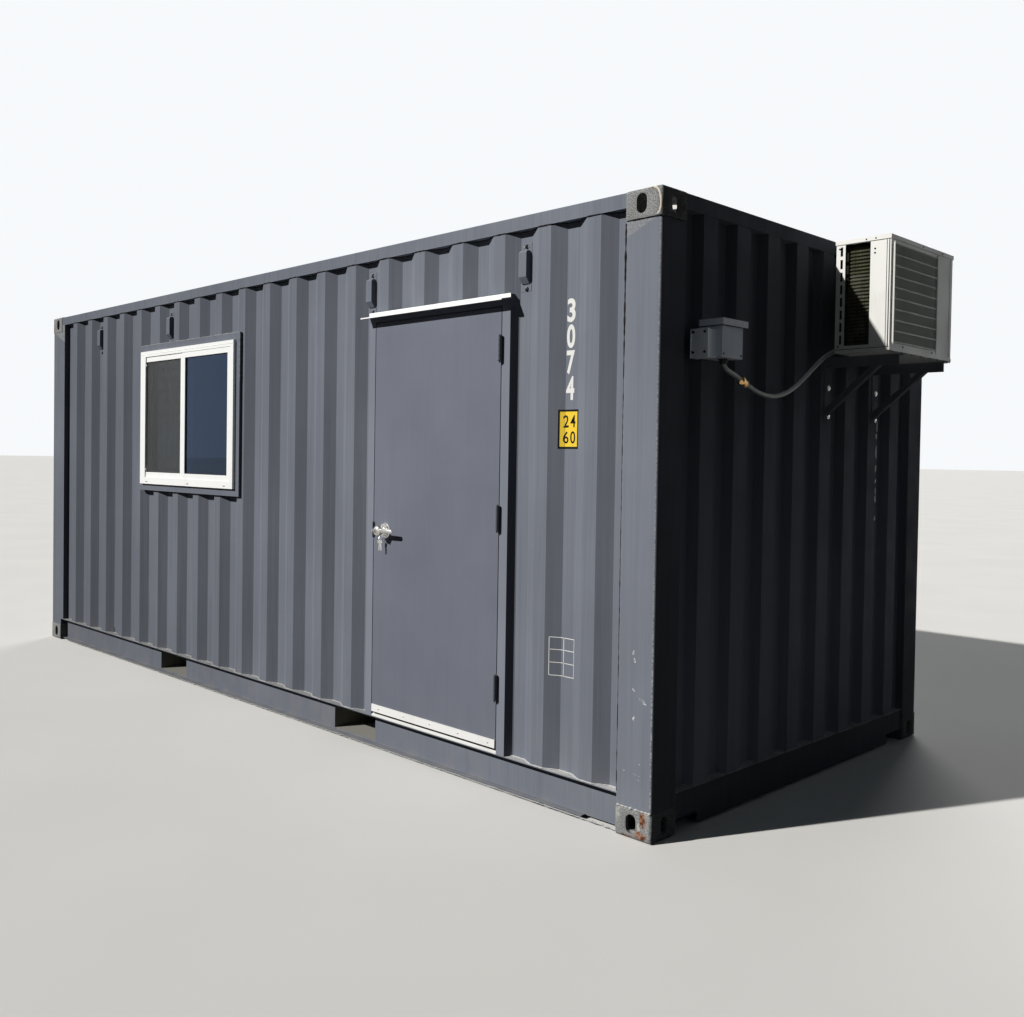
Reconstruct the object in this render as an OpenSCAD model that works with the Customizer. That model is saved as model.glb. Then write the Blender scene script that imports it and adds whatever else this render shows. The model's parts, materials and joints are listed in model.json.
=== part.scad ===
// Cabin made from a 20 ft steel shipping container: a person door, a slider
// window, a condenser unit on brackets and a disconnect box on the closed end.
// Millimetres, +Z up. X runs along the container with the closed end at +X and
// the cargo doors at -X, -Y is the side with the door and the window, and Z = 0
// is the underside of the corner castings. The origin is the footprint's centre.

/* [Container] */
// Length over the corner castings
box_l = 6058; // [5800:1:6400]
// Width over the corner castings
box_w = 2438; // [2400:1:2500]
// Height over the corner castings
box_h = 2591; // [2500:1:2900]
// Thickness of the corrugated sheet
sheet_t = 2; // [1.6:0.1:3]
// Height of the bottom side rails above the castings' underside
rail_top = 170; // [160:1:180]

/* [Side wall corrugation] */
// Distance between outer ribs of a side wall
side_pitch = 278; // [270:1:286]
// Width of the outer flat of a rib
side_flat = 72; // [60:1:84]
// Run of the slope between outer and inner flats
side_slope = 68; // [60:1:72]
// Depth of the corrugation
side_depth = 36; // [30:1:38]
// X of the centre of one outer rib
side_phase = 179; // [170:1:188]

/* [Closed end corrugation] */
// Distance between outer ribs of the closed end
end_pitch = 250; // [244:1:256]
// Width of the outer flat
end_flat = 104; // [96:1:110]
// Run of the steep slope
end_slope = 18; // [14:1:22]
// Depth of the corrugation
end_depth = 45; // [38:1:46]

/* [Person door] */
// X of the latch edge of the leaf
leaf_x0 = 1236; // [1200:1:1250]
// Width of the leaf
leaf_w = 914; // [860:1:920]
// Height of the leaf
leaf_h = 2002; // [1950:1:2004]
// Thickness of the leaf
leaf_t = 44; // [40:1:46]
// Face width of the steel frame
frame_w = 51; // [45:1:52]
// Gap round the leaf
leaf_gap = 5; // [5:0.5:7]

/* [Window] */
// X of the middle of the window
win_x = -759; // [-800:1:-720]
// Depth of the middle of the window below the container's top
win_drop = 834; // [790:1:890]
// Width of the white frame
win_w = 1248; // [1200:1:1260]
// Height of the white frame
win_h = 912; // [900:1:920]
// Width of the painted steel surround round it
surround_w = 45; // [40:1:50]

/* [Closed end fittings] */
// Y of the near side of the condenser unit
unit_y0 = 0; // [-20:1:60]
// Width of the condenser unit along the wall
unit_w = 682; // [660:1:760]
// Depth of the condenser unit
unit_d = 260; // [250:1:280]
// Height of the condenser unit
unit_h = 518; // [500:1:560]
// Gap between the end wall and the condenser unit
unit_gap = 102; // [95:1:120]
// Y of the first bracket
arm_y1 = 128; // [110:1:150]
// Y of the second bracket
arm_y2 = 628; // [600:1:640]

/* [Hidden] */
$fn = 32;
e = 0.01;

hx = box_l / 2;
hy = box_w / 2;
cast = [178, 162, 118];
cast_r = 14;
cast_side = 16;
cast_inner = 14;
cast_cap = 28;
slot_w = 51;
slot_h = 79.5;
ap_l = 124;
ap_w = 63.5;
post_z0 = cast[2];
post_z1 = box_h - cast[2];
skin_in = 3;                 // faces of posts and rails behind the castings
end_in = -hx + 36;           // faces of the cargo doors' sill and header
tube = 60;
tube_t = 3;
tube_z1 = box_h - 6;
tube_z0 = tube_z1 - tube;
rail_z0 = 12.5;
crest_y = hy - 5;            // outer face of the side walls' ribs
crest_x = hx - 6;            // outer face of the end wall's ribs
web_y = hy - 51;             // outer face of the bottom side rails' web
wall_x = hx - cast[0];       // where the side walls meet the closed end's posts
lip_x = -wall_x + 46;        // edge of the door end's posts along the side walls
wall_y = hy - cast[1];       // where the end walls meet the posts
roof_rib = [209, 91, 13.5, 20];   // pitch, outer flat, slope and depth
member_pitch = 300;
member_w = 42;
pocket_x = 1025;
pocket_w = 360;
pocket_z0 = 22;
pocket_z1 = 138;
floor_t = 28;
line_y = hy - 108;           // room face of the wall lining is line_y - line_t
line_t = 12;
line_x1 = hx - 112;
line_x0 = -wall_x + 1;
line_z1 = post_z1 - 33;
face_y = -(crest_y + 4);     // outer face of the door frame and the leaf
sill_z1 = rail_top + 19;     // top of the threshold
leaf_z0 = sill_z1 + leaf_gap;
leaf_z1 = leaf_z0 + leaf_h;
jamb_l = leaf_x0 - leaf_gap - frame_w;
jamb_r = leaf_x0 + leaf_w + leaf_gap + frame_w;
head_z0 = leaf_z1 + leaf_gap;
head_z1 = head_z0 + frame_w;
frame_y1 = -(line_y - line_t) + 2;
hinge_x = leaf_x0 + leaf_w + leaf_gap / 2;
win_z = box_h - win_drop;
hinge_r = 11;
hinge_y = face_y - hinge_r - 2;
hinge_h = 114;
pin_r = 4;
hinge_z = [leaf_z1 - 184, (leaf_z1 + leaf_z0) / 2 + 50, leaf_z0 + 283];
lever_x = leaf_x0 + 96;
lever_z = leaf_z0 + 944;

// Straight-sided rib profile: depth below the outer flat at distance u from a
// rib's centre, with the inner skin's corners moved by the bend allowance k.
function rib(u, flat, slope, depth, k) =
    u <= flat / 2 - k ? 0 :
    u >= flat / 2 + slope - k ? depth :
    depth * (u - flat / 2 + k) / slope;
function off(x, c, p) = abs((x - c) - p * round((x - c) / p));
function bend(slope, depth, t) = t * tan(atan2(depth, slope) / 2);
function rib_x(x0, x1, c, p, flat, slope, k) =
    let (n0 = floor((x0 - c) / p) - 1, n1 = ceil((x1 - c) / p) + 1,
         a = flat / 2 - k, b = flat / 2 + slope - k)
    concat([x0], [for (n = [n0:n1]) for (s = [-b, -a, a, b])
        let (x = c + n * p + s) if (x > x0 + 0.5 && x < x1 - 0.5) x], [x1]);

// Cross-section of a corrugated sheet along x, outer flats at y = 0, going
// towards +y.
module rib_profile(x0, x1, c, p, flat, slope, depth, t) {
    k = bend(slope, depth, t);
    outer = [for (x = rib_x(x0, x1, c, p, flat, slope, 0))
        [x, rib(off(x, c, p), flat, slope, depth, 0)]];
    inner = [for (x = rib_x(x0, x1, c, p, flat, slope, k))
        [x, t + rib(off(x, c, p), flat, slope, depth, k)]];
    polygon(concat(outer, [for (i = [len(inner) - 1:-1:0]) inner[i]]));
}

module side_sheet(x0, x1, z0, z1) {
    translate([0, -crest_y, z0]) linear_extrude(z1 - z0)
        rib_profile(x0, x1, side_phase, side_pitch, side_flat, side_slope,
            side_depth, sheet_t);
}

// Side wall from the door end's post, which it meets at the depth of the ribs
module long_wall(x1) {
    half = (ceil((lip_x - side_phase) / side_pitch - 0.5) + 0.5) * side_pitch;
    x0 = side_phase + half;
    side_sheet(x0, x1, rail_top, tube_z0);
    box(lip_x, x0 + e, -crest_y + side_depth, -crest_y + side_depth + sheet_t,
        rail_top, tube_z0);
}

module both_sides() { children(); mirror([0, 1, 0]) children(); }

module box(x0, x1, y0, y1, z0, z1) {
    translate([x0, y0, z0]) cube([x1 - x0, y1 - y0, z1 - z0]);
}

module ring(x0, x1, z0, z1, y0, y1, w, wt, wb) {
    difference() {
        box(x0, x1, y0, y1, z0, z1);
        box(x0 + w, x1 - w, y0 - 1, y1 + 1, z0 + wb, z1 - wt);
    }
}

// Upright stadium, w wide and h high, in the local XY plane
module stadium(w, h) {
    translate([-w / 2, -(h - w) / 2]) square([w, h - w]);
    for (s = [-1, 1]) translate([0, s * (h - w) / 2]) circle(d = w, $fn = 40);
}

// Corner casting in the corner x >= 0, y >= 0 with its faces on the planes
// x = 0 and y = 0, and its apertured cap at the bottom
module casting() {
    difference() {
        intersection() {
            linear_extrude(cast[2]) corner_flat(cast[0], cast[1], cast_r);
            translate([0, cast[1], 0]) rotate([90, 0, 0]) linear_extrude(cast[1])
                corner_flat(cast[0], cast[2], cast_r);
            rotate([90, 0, 90]) linear_extrude(cast[0])
                corner_flat(cast[1], cast[2], cast_r);
        }
        box(cast_side, cast[0] - cast_inner, cast_side, cast[1] - cast_inner,
            cast_cap, cast[2] - cast_inner);
        translate([101.5, 89, -1]) linear_extrude(cast_cap + 2)
            rotate(90) stadium(ap_w, ap_l);
        translate([101.5, -1, cast[2] / 2]) rotate([-90, 0, 0])
            linear_extrude(cast_side + 2) stadium(slot_w, slot_h);
        translate([-1, 89, cast[2] / 2]) rotate([90, 0, 90])
            linear_extrude(cast_side + 2) stadium(slot_w, slot_h);
    }
}

module corner_castings() {
    color("slategray")
    for (mx = [0, 1]) for (my = [0, 1]) for (mz = [0, 1])
        mirror([mx, 0, 0]) mirror([0, my, 0])
            translate([0, 0, mz * box_h]) mirror([0, 0, mz])
                translate([-hx, -hy, 0]) casting();
}

// Rounded right-angle outline from the outer corner at (0, 0)
module corner_flat(a, b, r) {
    translate([r, 0]) square([a - r, b]);
    translate([0, r]) square([a, b - r]);
    translate([r, r]) circle(r);
}

post_t = 6;
post_gap = [60, 50];         // from the corner to the open side of the folded posts
door_post_in = 10;           // how much narrower than a casting the door end's posts are

module corner_posts() {
    a = cast[0] - skin_in;
    b = cast[1] - skin_in;
    c = b - door_post_in;
    r = 12;
    color("dimgray") both_sides() {
        translate([hx - skin_in, -hy + skin_in, post_z0]) mirror([1, 0, 0])
            linear_extrude(post_z1 - post_z0) difference() {
                corner_flat(a, b, r);
                translate([post_t, post_t])
                    corner_flat(a - 2 * post_t, b - 2 * post_t, r - post_t);
                translate(post_gap) square([a, b]);
            }
        translate([-hx + skin_in, -hy + skin_in, post_z0])
            linear_extrude(post_z1 - post_z0) difference() {
                corner_flat(a, c, r);
                translate([post_t, post_t])
                    corner_flat(a - 2 * post_t, c - 3 * post_t, r - post_t);
            }
        box(-wall_x - post_t, lip_x, -hy + skin_in, -hy + skin_in + post_t, rail_top,
            post_z1);
        box(-wall_x, lip_x, -hy + skin_in, -hy + skin_in + post_t, post_z1 - post_t,
            tube_z0);
        box(lip_x - post_t, lip_x, -hy + skin_in, -web_y, rail_top, tube_z0);
    }
}

module top_side_rails() {
    color("dimgray") both_sides()
        translate([-wall_x, -hy + skin_in, tube_z0]) rotate([90, 0, 90])
            linear_extrude(2 * wall_x) square_tube();
}

module square_tube() {
    difference() {
        square(tube);
        translate([tube_t, tube_t]) square(tube - 2 * tube_t);
    }
}

module bottom_side_rails() {
    t = 4.5;
    lip = 30;
    lip_cut = 200;
    color("dimgray") both_sides() difference() {
        translate([-wall_x, 0, 0]) rotate([90, 0, 90])
            linear_extrude(2 * wall_x) union() {
                translate([-web_y, rail_z0]) square([t, rail_top - rail_z0]);
                translate([-crest_y - 2, rail_top - t])
                    square([crest_y + 2 - web_y + t, t]);
                translate([-web_y - lip, rail_z0]) square([lip + t, t]);
            }
        for (s = [-1, 1]) box(s * pocket_x - pocket_w / 2,
            s * pocket_x + pocket_w / 2, -hy, -web_y + 20, pocket_z0, pocket_z1 + 4);
        box(wall_x - lip_cut, wall_x + 1, -hy - 1, -web_y, rail_z0 - 1, rail_z0 + t + e);
    }
}

module closed_end_top_rail() {
    color("dimgray") translate([hx - skin_in - tube, wall_y, tube_z0]) rotate([90, 0, 0])
        linear_extrude(2 * wall_y) square_tube();
}

sill_x = crest_x - 6;        // outer face of the closed end's sill

module closed_end_sill() {
    t = 5;
    top = [60, 8];           // how far the top flange goes in and out
    foot = 50;
    notch = [175, 60];       // room beside the castings for a forklift or jack
    color("dimgray") difference() {
        translate([0, wall_y, 0]) rotate([90, 0, 0]) linear_extrude(2 * wall_y)
            union() {
                translate([sill_x - t, rail_z0]) square([t, rail_top - rail_z0]);
                translate([sill_x - top[0], rail_top - t]) square([top[0] + top[1], t]);
                translate([sill_x - foot, rail_z0]) square([foot, t]);
            }
        for (s = [-1, 1]) translate([0, s * wall_y, 0])
            box(sill_x - top[0] - 1, sill_x + top[1] + 1, -notch[0], notch[0], 0,
                notch[1]);
    }
}

// Box section along the door end's top or bottom, d deep with walls t thick
module door_end_bar(d, t, z0, z1) {
    difference() {
        box(end_in, end_in + d, -wall_y, wall_y, z0, z1);
        box(end_in + t, end_in + d - t, -wall_y - 1, wall_y + 1, z0 + t, z1 - t);
    }
}

module door_end_header() {
    color("dimgray") door_end_bar(54, 4, post_z1 + 20, tube_z1);
}

module door_end_sill() {
    color("dimgray") door_end_bar(74, 5, rail_z0, rail_top - 20);
}

module roof_panel() {
    y = hy - skin_in - tube;
    color("dimgray") difference() {
        translate([0, y, tube_z1]) rotate([90, 0, 0])
            linear_extrude(2 * y) mirror([0, 1])
                rib_profile(-hx + 90, hx - skin_in - tube, 0, roof_rib[0],
                    roof_rib[1], roof_rib[2], roof_rib[3], sheet_t);
        for (i = [0, 1]) mirror([i, 0, 0]) both_sides()
            box(wall_x - 1, hx, wall_y - 1, hy, post_z1 - 1, box_h);
    }
}

// Folded steel crossmember, a channel open towards +X
module crossmember(x) {
    z1 = rail_top - floor_t;
    translate([x, web_y - 4.5, 0]) rotate([90, 0, 0])
        linear_extrude(2 * (web_y - 4.5)) difference() {
            translate([0, z1 - 122]) square([member_w, 122]);
            translate([4, z1 - 118]) square([member_w, 114]);
        }
}

module cross_members() {
    n = floor((wall_x - 100) / member_pitch);
    color("dimgray") for (i = [-n:n])
        if (abs(abs(i * member_pitch) - pocket_x) > pocket_w / 2 + 60)
            crossmember(i * member_pitch - member_w / 2);
}

module fork_pockets() {
    t = 4;
    y = web_y - 4.5;
    color("dimgray") for (s = [-1, 1]) translate([s * pocket_x, 0, 0])
        difference() {
            box(-pocket_w / 2 - t, pocket_w / 2 + t, -y, y,
                pocket_z0 - 8, pocket_z1 + t);
            box(-pocket_w / 2, pocket_w / 2, -y - 1, y + 1, pocket_z0, pocket_z1);
            box(-pocket_w / 2, pocket_w / 2, -y + 200, y - 200, 0, pocket_z1);
        }
}

module floor_boards() {
    n = 5;
    x0 = -wall_x + 1;
    l = (sill_x - 61 - x0) / n;
    y = web_y - 5;
    z0 = rail_top - floor_t;
    color("peru") {
        for (i = [0:n - 1]) box(x0 + i * l + 1, x0 + (i + 1) * l - 1, -y, y, z0, rail_top);
        box(-hx + 112, x0, -wall_y + 1, wall_y - 1, z0, rail_top);
    }
}

sur_w = win_w / 2 + surround_w;
sur_h = win_h / 2 + surround_w;

module wall_front_left() {
    color("dimgray") difference() {
        long_wall(jamb_l);
        box(win_x - sur_w, win_x + sur_w, -hy, -hy + 100, win_z - sur_h, win_z + sur_h);
    }
}

module wall_front_over_door() {
    color("dimgray") side_sheet(jamb_l, jamb_r, head_z1, tube_z0);
}

module wall_front_right() {
    color("dimgray") side_sheet(jamb_r, wall_x, rail_top, tube_z0);
}

module wall_back() {
    color("dimgray") mirror([0, 1, 0]) long_wall(wall_x);
}

module wall_closed_end() {
    color("dimgray") translate([crest_x, 0, rail_top])
        linear_extrude(tube_z0 - rail_top) rotate(90)
            rib_profile(-wall_y, wall_y, end_pitch / 2, end_pitch, end_flat,
                end_slope, end_depth, sheet_t);
}

module wall_lining() {
    y0 = line_y - line_t;
    ww = win_w / 2 + 0.3;
    wh = win_h / 2 + 0.3;
    color("whitesmoke") {
        difference() {
            box(line_x0, jamb_l, -line_y, -y0, rail_top, line_z1);
            box(win_x - ww, win_x + ww, -line_y - 1, -y0 + 1,
                win_z - wh, win_z + wh);
        }
        box(jamb_l + 1, jamb_r - 1, -line_y, -y0, head_z1, line_z1);
        box(jamb_r, line_x1, -line_y, -y0, rail_top, line_z1);
        box(line_x0, line_x1, y0, line_y, rail_top, line_z1);
        box(line_x1 - line_t, line_x1, -y0 + 1, y0 - 1, rail_top, line_z1);
        box(line_x0, line_x0 + line_t, -y0 + 1, y0 - 1, rail_top, line_z1);
    }
}

module ceiling() {
    color("whitesmoke")
        box(line_x0, line_x1, -line_y, line_y, line_z1, line_z1 + line_t);
}

cd_w = wall_y - 22;          // width of one cargo door leaf
cd_x = end_in - 2;           // its outer face
cd_d = 50;                   // its depth
cd_frame = 90;               // and the width of its frame
cd_z0 = rail_top + 2;
cd_z1 = post_z1 - 2;
cd_pitch = 290;
cd_rib = [80, 70, 34];       // outer flat, slope and depth of its sheet
cd_meet = 6;                 // from the middle to where the leaves meet
// Heights on the cargo doors as shares of their height
cd_hinge_at = [0.069, 0.312, 0.621, 0.9];
cd_guide_at = [0.069, 0.3, 0.543, 0.752];
cd_handle_at = [0.386, 0.438];
function cd_z(share) = cd_z0 + share * (cd_z1 - cd_z0);

module cargo_leaf() {
    y0 = -cd_w + cd_frame;
    y1 = -cd_meet - cd_frame;
    difference() {
        box(cd_x, cd_x + cd_d, -cd_w, -cd_meet, cd_z0, cd_z1);
        box(cd_x - 1, cd_x + cd_d + 1, y0, y1, cd_z0 + cd_frame, cd_z1 - cd_frame);
    }
    translate([cd_x + 4, 0, cd_z0 + cd_frame])
        linear_extrude(cd_z1 - cd_z0 - 2 * cd_frame) mirror([1, 0]) rotate(90)
            rib_profile(y0, y1, -cd_w / 2, cd_pitch, cd_rib[0], cd_rib[1], cd_rib[2],
                sheet_t);
}

module cargo_door_left() { color("dimgray") mirror([0, 1, 0]) cargo_leaf(); }
module cargo_door_right() { color("dimgray") cargo_leaf(); }

module cargo_door_gaskets() {
    x0 = cd_x + 12;
    x1 = x0 + 22;
    lip = 22;
    color("black") {
        both_sides() box(x0, x1, -wall_y - door_post_in, -cd_w, cd_z0, cd_z1);
        box(x0, x1, -cd_meet, cd_meet, cd_z0, cd_z1);
        both_sides() box(x0, x1, -cd_w + 1, -cd_meet - 1, cd_z1, cd_z1 + lip);
        both_sides() box(x0, x1, -cd_w + 1, -cd_meet - 1, cd_z0 - lip, cd_z0);
    }
}

rod_d = 27;
rod_x = cd_x - rod_d / 2 - 3;
rod_y = [for (s = [-1, 1]) for (k = [-1, 1]) s * (cd_w / 2 + k * cd_pitch)];
rod_z0 = rail_z0 + 60;
rod_z1 = box_h - 46;
keep_z = [rod_z0 + 6, rod_z1 - 46];
keep_h = 38;
guide_h = 26;
guide_w = 32;

// Vertical lock rods with their cams, guides on the door, handles and catches
module lock_rods() {
    x1 = cd_x + 4 - rod_x;
    reach = 420;
    color("lightgray") for (y = rod_y) translate([rod_x, y, 0]) {
        outer = abs(y) > cd_w / 2;
        s = sign(y) * (outer ? -1 : 1);
        z = cd_z(cd_handle_at[outer ? 1 : 0]);
        translate([0, 0, rod_z0]) cylinder(d = rod_d, h = rod_z1 - rod_z0);
        for (k = keep_z) box(-12, 12, -22, 22, k + 12, k + 26);
        for (k = cd_guide_at)
            box(-4, x1, -guide_w, guide_w, cd_z(k), cd_z(k) + guide_h);
        for (k = [cd_z0 + 30, cd_z1 - 30 - guide_h])
            box(-4, x1 - 4, -guide_w, guide_w, k, k + guide_h);
        box(-6, 6, min(0, s * reach), max(0, s * reach), z, z + 36);
        box(0, x1, s * cd_pitch - 16, s * cd_pitch + 16, z - 12, z + 48);
    }
}

module lock_rod_keepers() {
    d = 32;
    w = 48;
    hole = 30;
    color("dimgray") for (y = rod_y) for (z = keep_z) difference() {
        box(end_in - d, end_in, y - w, y + w, z, z + keep_h);
        box(end_in - d - 1, end_in + 1, y - hole, y + hole, z - 1, z + keep_h + 1);
    }
}

module cargo_door_hinges() {
    t = 14;
    h = 80;
    arm = 150;
    color("dimgray") both_sides() for (k = cd_hinge_at) {
        z = cd_z(k);
        box(cd_x - t, cd_x, -wall_y - door_post_in, -wall_y + arm, z, z + h);
        translate([cd_x - t + 2, -wall_y + 2, z - 20]) cylinder(r = 9, h = h + 40);
    }
}

module window_surround() {
    color("dimgray") ring(win_x - sur_w, win_x + sur_w, win_z - sur_h, win_z + sur_h,
        -crest_y - 18, -crest_y + 40, surround_w, surround_w, surround_w);
}

win_b = 38;                  // sides and head of the window frame
win_sill = 46;               // its sill
win_y0 = -crest_y - 36;      // its outer face
win_mid = 25;                // from the window's middle to the fixed pane's border
pane_b = 35;                 // border of the fixed pane and of the screen
glass_t = 4;
light_z = [win_z - win_h / 2 + win_sill, win_z + win_h / 2 - win_b];
light_x = [win_x - win_w / 2 + win_b, win_x + win_w / 2 - win_b];

module window_frame() {
    w = win_w / 2;
    h = win_h / 2;
    color("white") {
        ring(win_x - w, win_x + w, win_z - h, win_z + h, win_y0,
            -(line_y - line_t) - 4, win_b, win_b, win_sill);
        ring(win_x - win_mid, light_x[1], light_z[0], light_z[1],
            win_y0 + 3, win_y0 + 30, pane_b, pane_b, pane_b);
        ring(light_x[0], win_x - win_mid + 4, light_z[0], light_z[1],
            win_y0 + 7, win_y0 + 23, pane_b, pane_b, pane_b);
    }
}

sash_b = 40;
sash_y0 = win_y0 + 38;
sash_t = 26;
sash_x1 = win_x + 14;
sash_drop = 2;               // gap over and beside the sash in its track

module window_sash() {
    color("white") ring(light_x[0] + sash_drop, sash_x1, light_z[0],
        light_z[1] - sash_drop, sash_y0, sash_y0 + sash_t, sash_b, sash_b, sash_b);
}

module window_glass() {
    fixed_y = win_y0 + 12;
    sash_y = sash_y0 + 11;
    color("lightblue") {
        box(win_x - win_mid + pane_b, light_x[1] - pane_b, fixed_y, fixed_y + glass_t,
            light_z[0] + pane_b, light_z[1] - pane_b);
        box(light_x[0] + sash_drop + sash_b, sash_x1 - sash_b, sash_y,
            sash_y + glass_t, light_z[0] + sash_b, light_z[1] - sash_drop - sash_b);
    }
}

module insect_screen() {
    y = win_y0 + 14;
    color("gray") box(light_x[0] + pane_b, win_x - win_mid + 4 - pane_b, y, y + 1.5,
        light_z[0] + pane_b, light_z[1] - pane_b);
}

// Frame section with a stop behind the leaf, its face at y = face_y, opening
// towards +x from x = 0
stop_w = 16;
stop_d = 40;
stop_y = face_y + leaf_t + leaf_gap;

module jamb() {
    box(0, frame_w, face_y, frame_y1, rail_top, head_z0);
    box(0, frame_w + stop_w, stop_y, stop_y + stop_d, leaf_z0 - 2, head_z0);
}

module door_jambs() {
    color("dimgray") {
        difference() {
            translate([jamb_l, 0, 0]) jamb();
            strike(1);
        }
        translate([jamb_r, 0, 0]) mirror([1, 0, 0]) jamb();
    }
}

module door_head() {
    color("dimgray") {
        box(jamb_l, jamb_r, face_y, frame_y1, head_z0, head_z1);
        box(jamb_l + frame_w + stop_w, jamb_r - frame_w - stop_w,
            stop_y, stop_y + stop_d, head_z0 - stop_w, head_z0);
    }
}

module door_threshold() {
    color("lightgray") translate([jamb_l + frame_w, 0, 0]) rotate([90, 0, 90])
        linear_extrude(leaf_w + 2 * leaf_gap) polygon([
            [face_y + 2, rail_top], [face_y + 2, rail_top + 8],
            [face_y + 12, rail_top + 14], [face_y + 60, rail_top + 14],
            [face_y + 66, sill_z1], [face_y + 84, sill_z1],
            [face_y + 90, rail_top + 12], [frame_y1 - 10, rail_top + 12],
            [frame_y1, rail_top]]);
}

module door_leaf() {
    color("dimgray") difference() {
        box(leaf_x0, leaf_x0 + leaf_w, face_y, face_y + leaf_t, leaf_z0, leaf_z1);
        translate([lever_x, face_y - 1, lever_z]) rotate([-90, 0, 0])
            cylinder(d = 30, h = leaf_t + 2);
        lock_face(1);
    }
}

module door_sweep() {
    color("white") box(leaf_x0 + 2, leaf_x0 + leaf_w - 2, face_y - 4, face_y,
        leaf_z0 + 2, leaf_z0 + 40);
}

// Knuckles i of the hinge at height z with their plate on the side s of the gap,
// round a hole of radius bore
module knuckles(z, list, s, bore) {
    k = hinge_h / 5;
    x0 = leaf_gap / 2 - 1.5;
    for (i = list) translate([hinge_x, hinge_y, z - hinge_h / 2 + i * k + 0.4])
        difference() {
            union() {
                cylinder(r = hinge_r, h = k - 0.8);
                box(s > 0 ? x0 : -x0 - 1.5, s > 0 ? x0 + 1.5 : -x0, 0,
                    face_y + 36 - hinge_y, 0, k - 0.8);
            }
            translate([0, 0, -1]) cylinder(r = bore, h = k + 2);
        }
}

module door_hinges_frame() {
    color("dimgray") for (z = hinge_z) {
        knuckles(z, [0, 2, 4], 1, pin_r - 1);
        translate([hinge_x, hinge_y, z - hinge_h / 2 - 10])
            cylinder(r = pin_r, h = hinge_h + 14);
    }
}

module door_hinges_leaf() {
    color("dimgray") for (z = hinge_z) knuckles(z, [1, 3], -1, pin_r + 0.3);
}

module rose() {
    rotate([90, 0, 0]) difference() {
        cylinder(d1 = 78, d2 = 70, h = 12, $fn = 48);
        translate([0, 0, -1]) cylinder(d = 32, h = 14);
    }
}

module door_lock() {
    color("silver") {
        translate([lever_x, face_y, lever_z]) rose();
        translate([lever_x, face_y + leaf_t, lever_z]) mirror([0, 1, 0]) rose();
        lock_face(0);
    }
}

// Plate let into the leaf's edge, and its cutter g proud of it
module lock_face(g) {
    box(leaf_x0 - g, leaf_x0 + 2, face_y + 8, face_y + 36, lever_z - 55,
        lever_z + 55);
}

module half_lever() {
    rotate([90, 0, 0]) cylinder(d = 30, h = 52);
    translate([0, -52, 0]) rotate([90, 0, 0]) cylinder(d1 = 44, d2 = 40, h = 12);
    box(0, 112, -62, -54, -9, 9);
}

module door_lever() {
    color("silver") {
        translate([lever_x, face_y, lever_z]) half_lever();
        translate([lever_x, face_y + leaf_t, lever_z]) mirror([0, 1, 0])
            half_lever();
        translate([lever_x, face_y - 1, lever_z]) rotate([-90, 0, 0])
            cylinder(d = 14, h = leaf_t + 2);
    }
}

// Plate let into the jamb, and its cutter g proud of it
module strike(g) {
    box(leaf_x0 - leaf_gap - 1.5, leaf_x0 - leaf_gap + g, face_y + 2,
        face_y + 36, lever_z - 60, lever_z + 60);
}

module strike_plate() { color("silver") strike(0); }

// Cap over the door: a screwed strip with a sloping lip that sheds the rain
module drip_cap() {
    z1 = head_z1 + 2;
    t = 2;
    strip = 22;
    lip_out = 60;
    lip_fall = 16;
    z = z1 - strip + 4;
    color("white") {
        box(jamb_l - t, jamb_r + t, face_y - t, face_y, z1 - strip, z1);
        translate([jamb_l - t, 0, 0]) rotate([90, 0, 90])
            linear_extrude(jamb_r - jamb_l + 2 * t) polygon([
                [face_y - t + e, z], [face_y - lip_out + 2, z - lip_fall + 4],
                [face_y - lip_out, z - lip_fall - 2],
                [face_y - lip_out + 1.5, z - lip_fall - 2.5],
                [face_y - lip_out + 3, z - lip_fall + 2.5], [face_y - t + e, z - t]]);
    }
}

vent_w = 46;
vent_plate = [62, 103, 110];  // width, and heights below and above the middle
vent_drop = 163;             // from the top rail's underside to the vents' middle
vent_ribs = [-9, -5, 3, 7];  // inner ribs that have a vent

module wall_vents() {
    y0 = -crest_y + side_depth;
    color("dimgray") for (k = vent_ribs)
        translate([side_phase + side_pitch * (k + 0.5), y0, tube_z0 - vent_drop]) {
            box(-vent_plate[0] / 2, vent_plate[0] / 2, -2, 0, -vent_plate[1],
                vent_plate[2]);
            translate([-vent_w / 2, 0, 0]) rotate([90, 0, 90]) linear_extrude(vent_w)
                polygon([[-2, 75], [-20, 75], [-29, 66], [-29, -42], [-8, -70],
                    [-2, -70]]);
        }
}

ux0 = crest_x + unit_gap;
ux1 = ux0 + unit_d;
uy1 = unit_y0 + unit_w;
uz0 = box_h - 565;
uz1 = uz0 + unit_h;
fan_y = unit_y0 + 252;
fan_z = uz0 + 262;
fan_r = 200;
guard = [unit_y0 + 12, unit_y0 + 480, uz0 + 36, uz1 - 37];

unit_t = 3;
coil_z = [uz0 + 32, uz1 - 22];   // openings in front of the coil
foot_h = 6;

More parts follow.
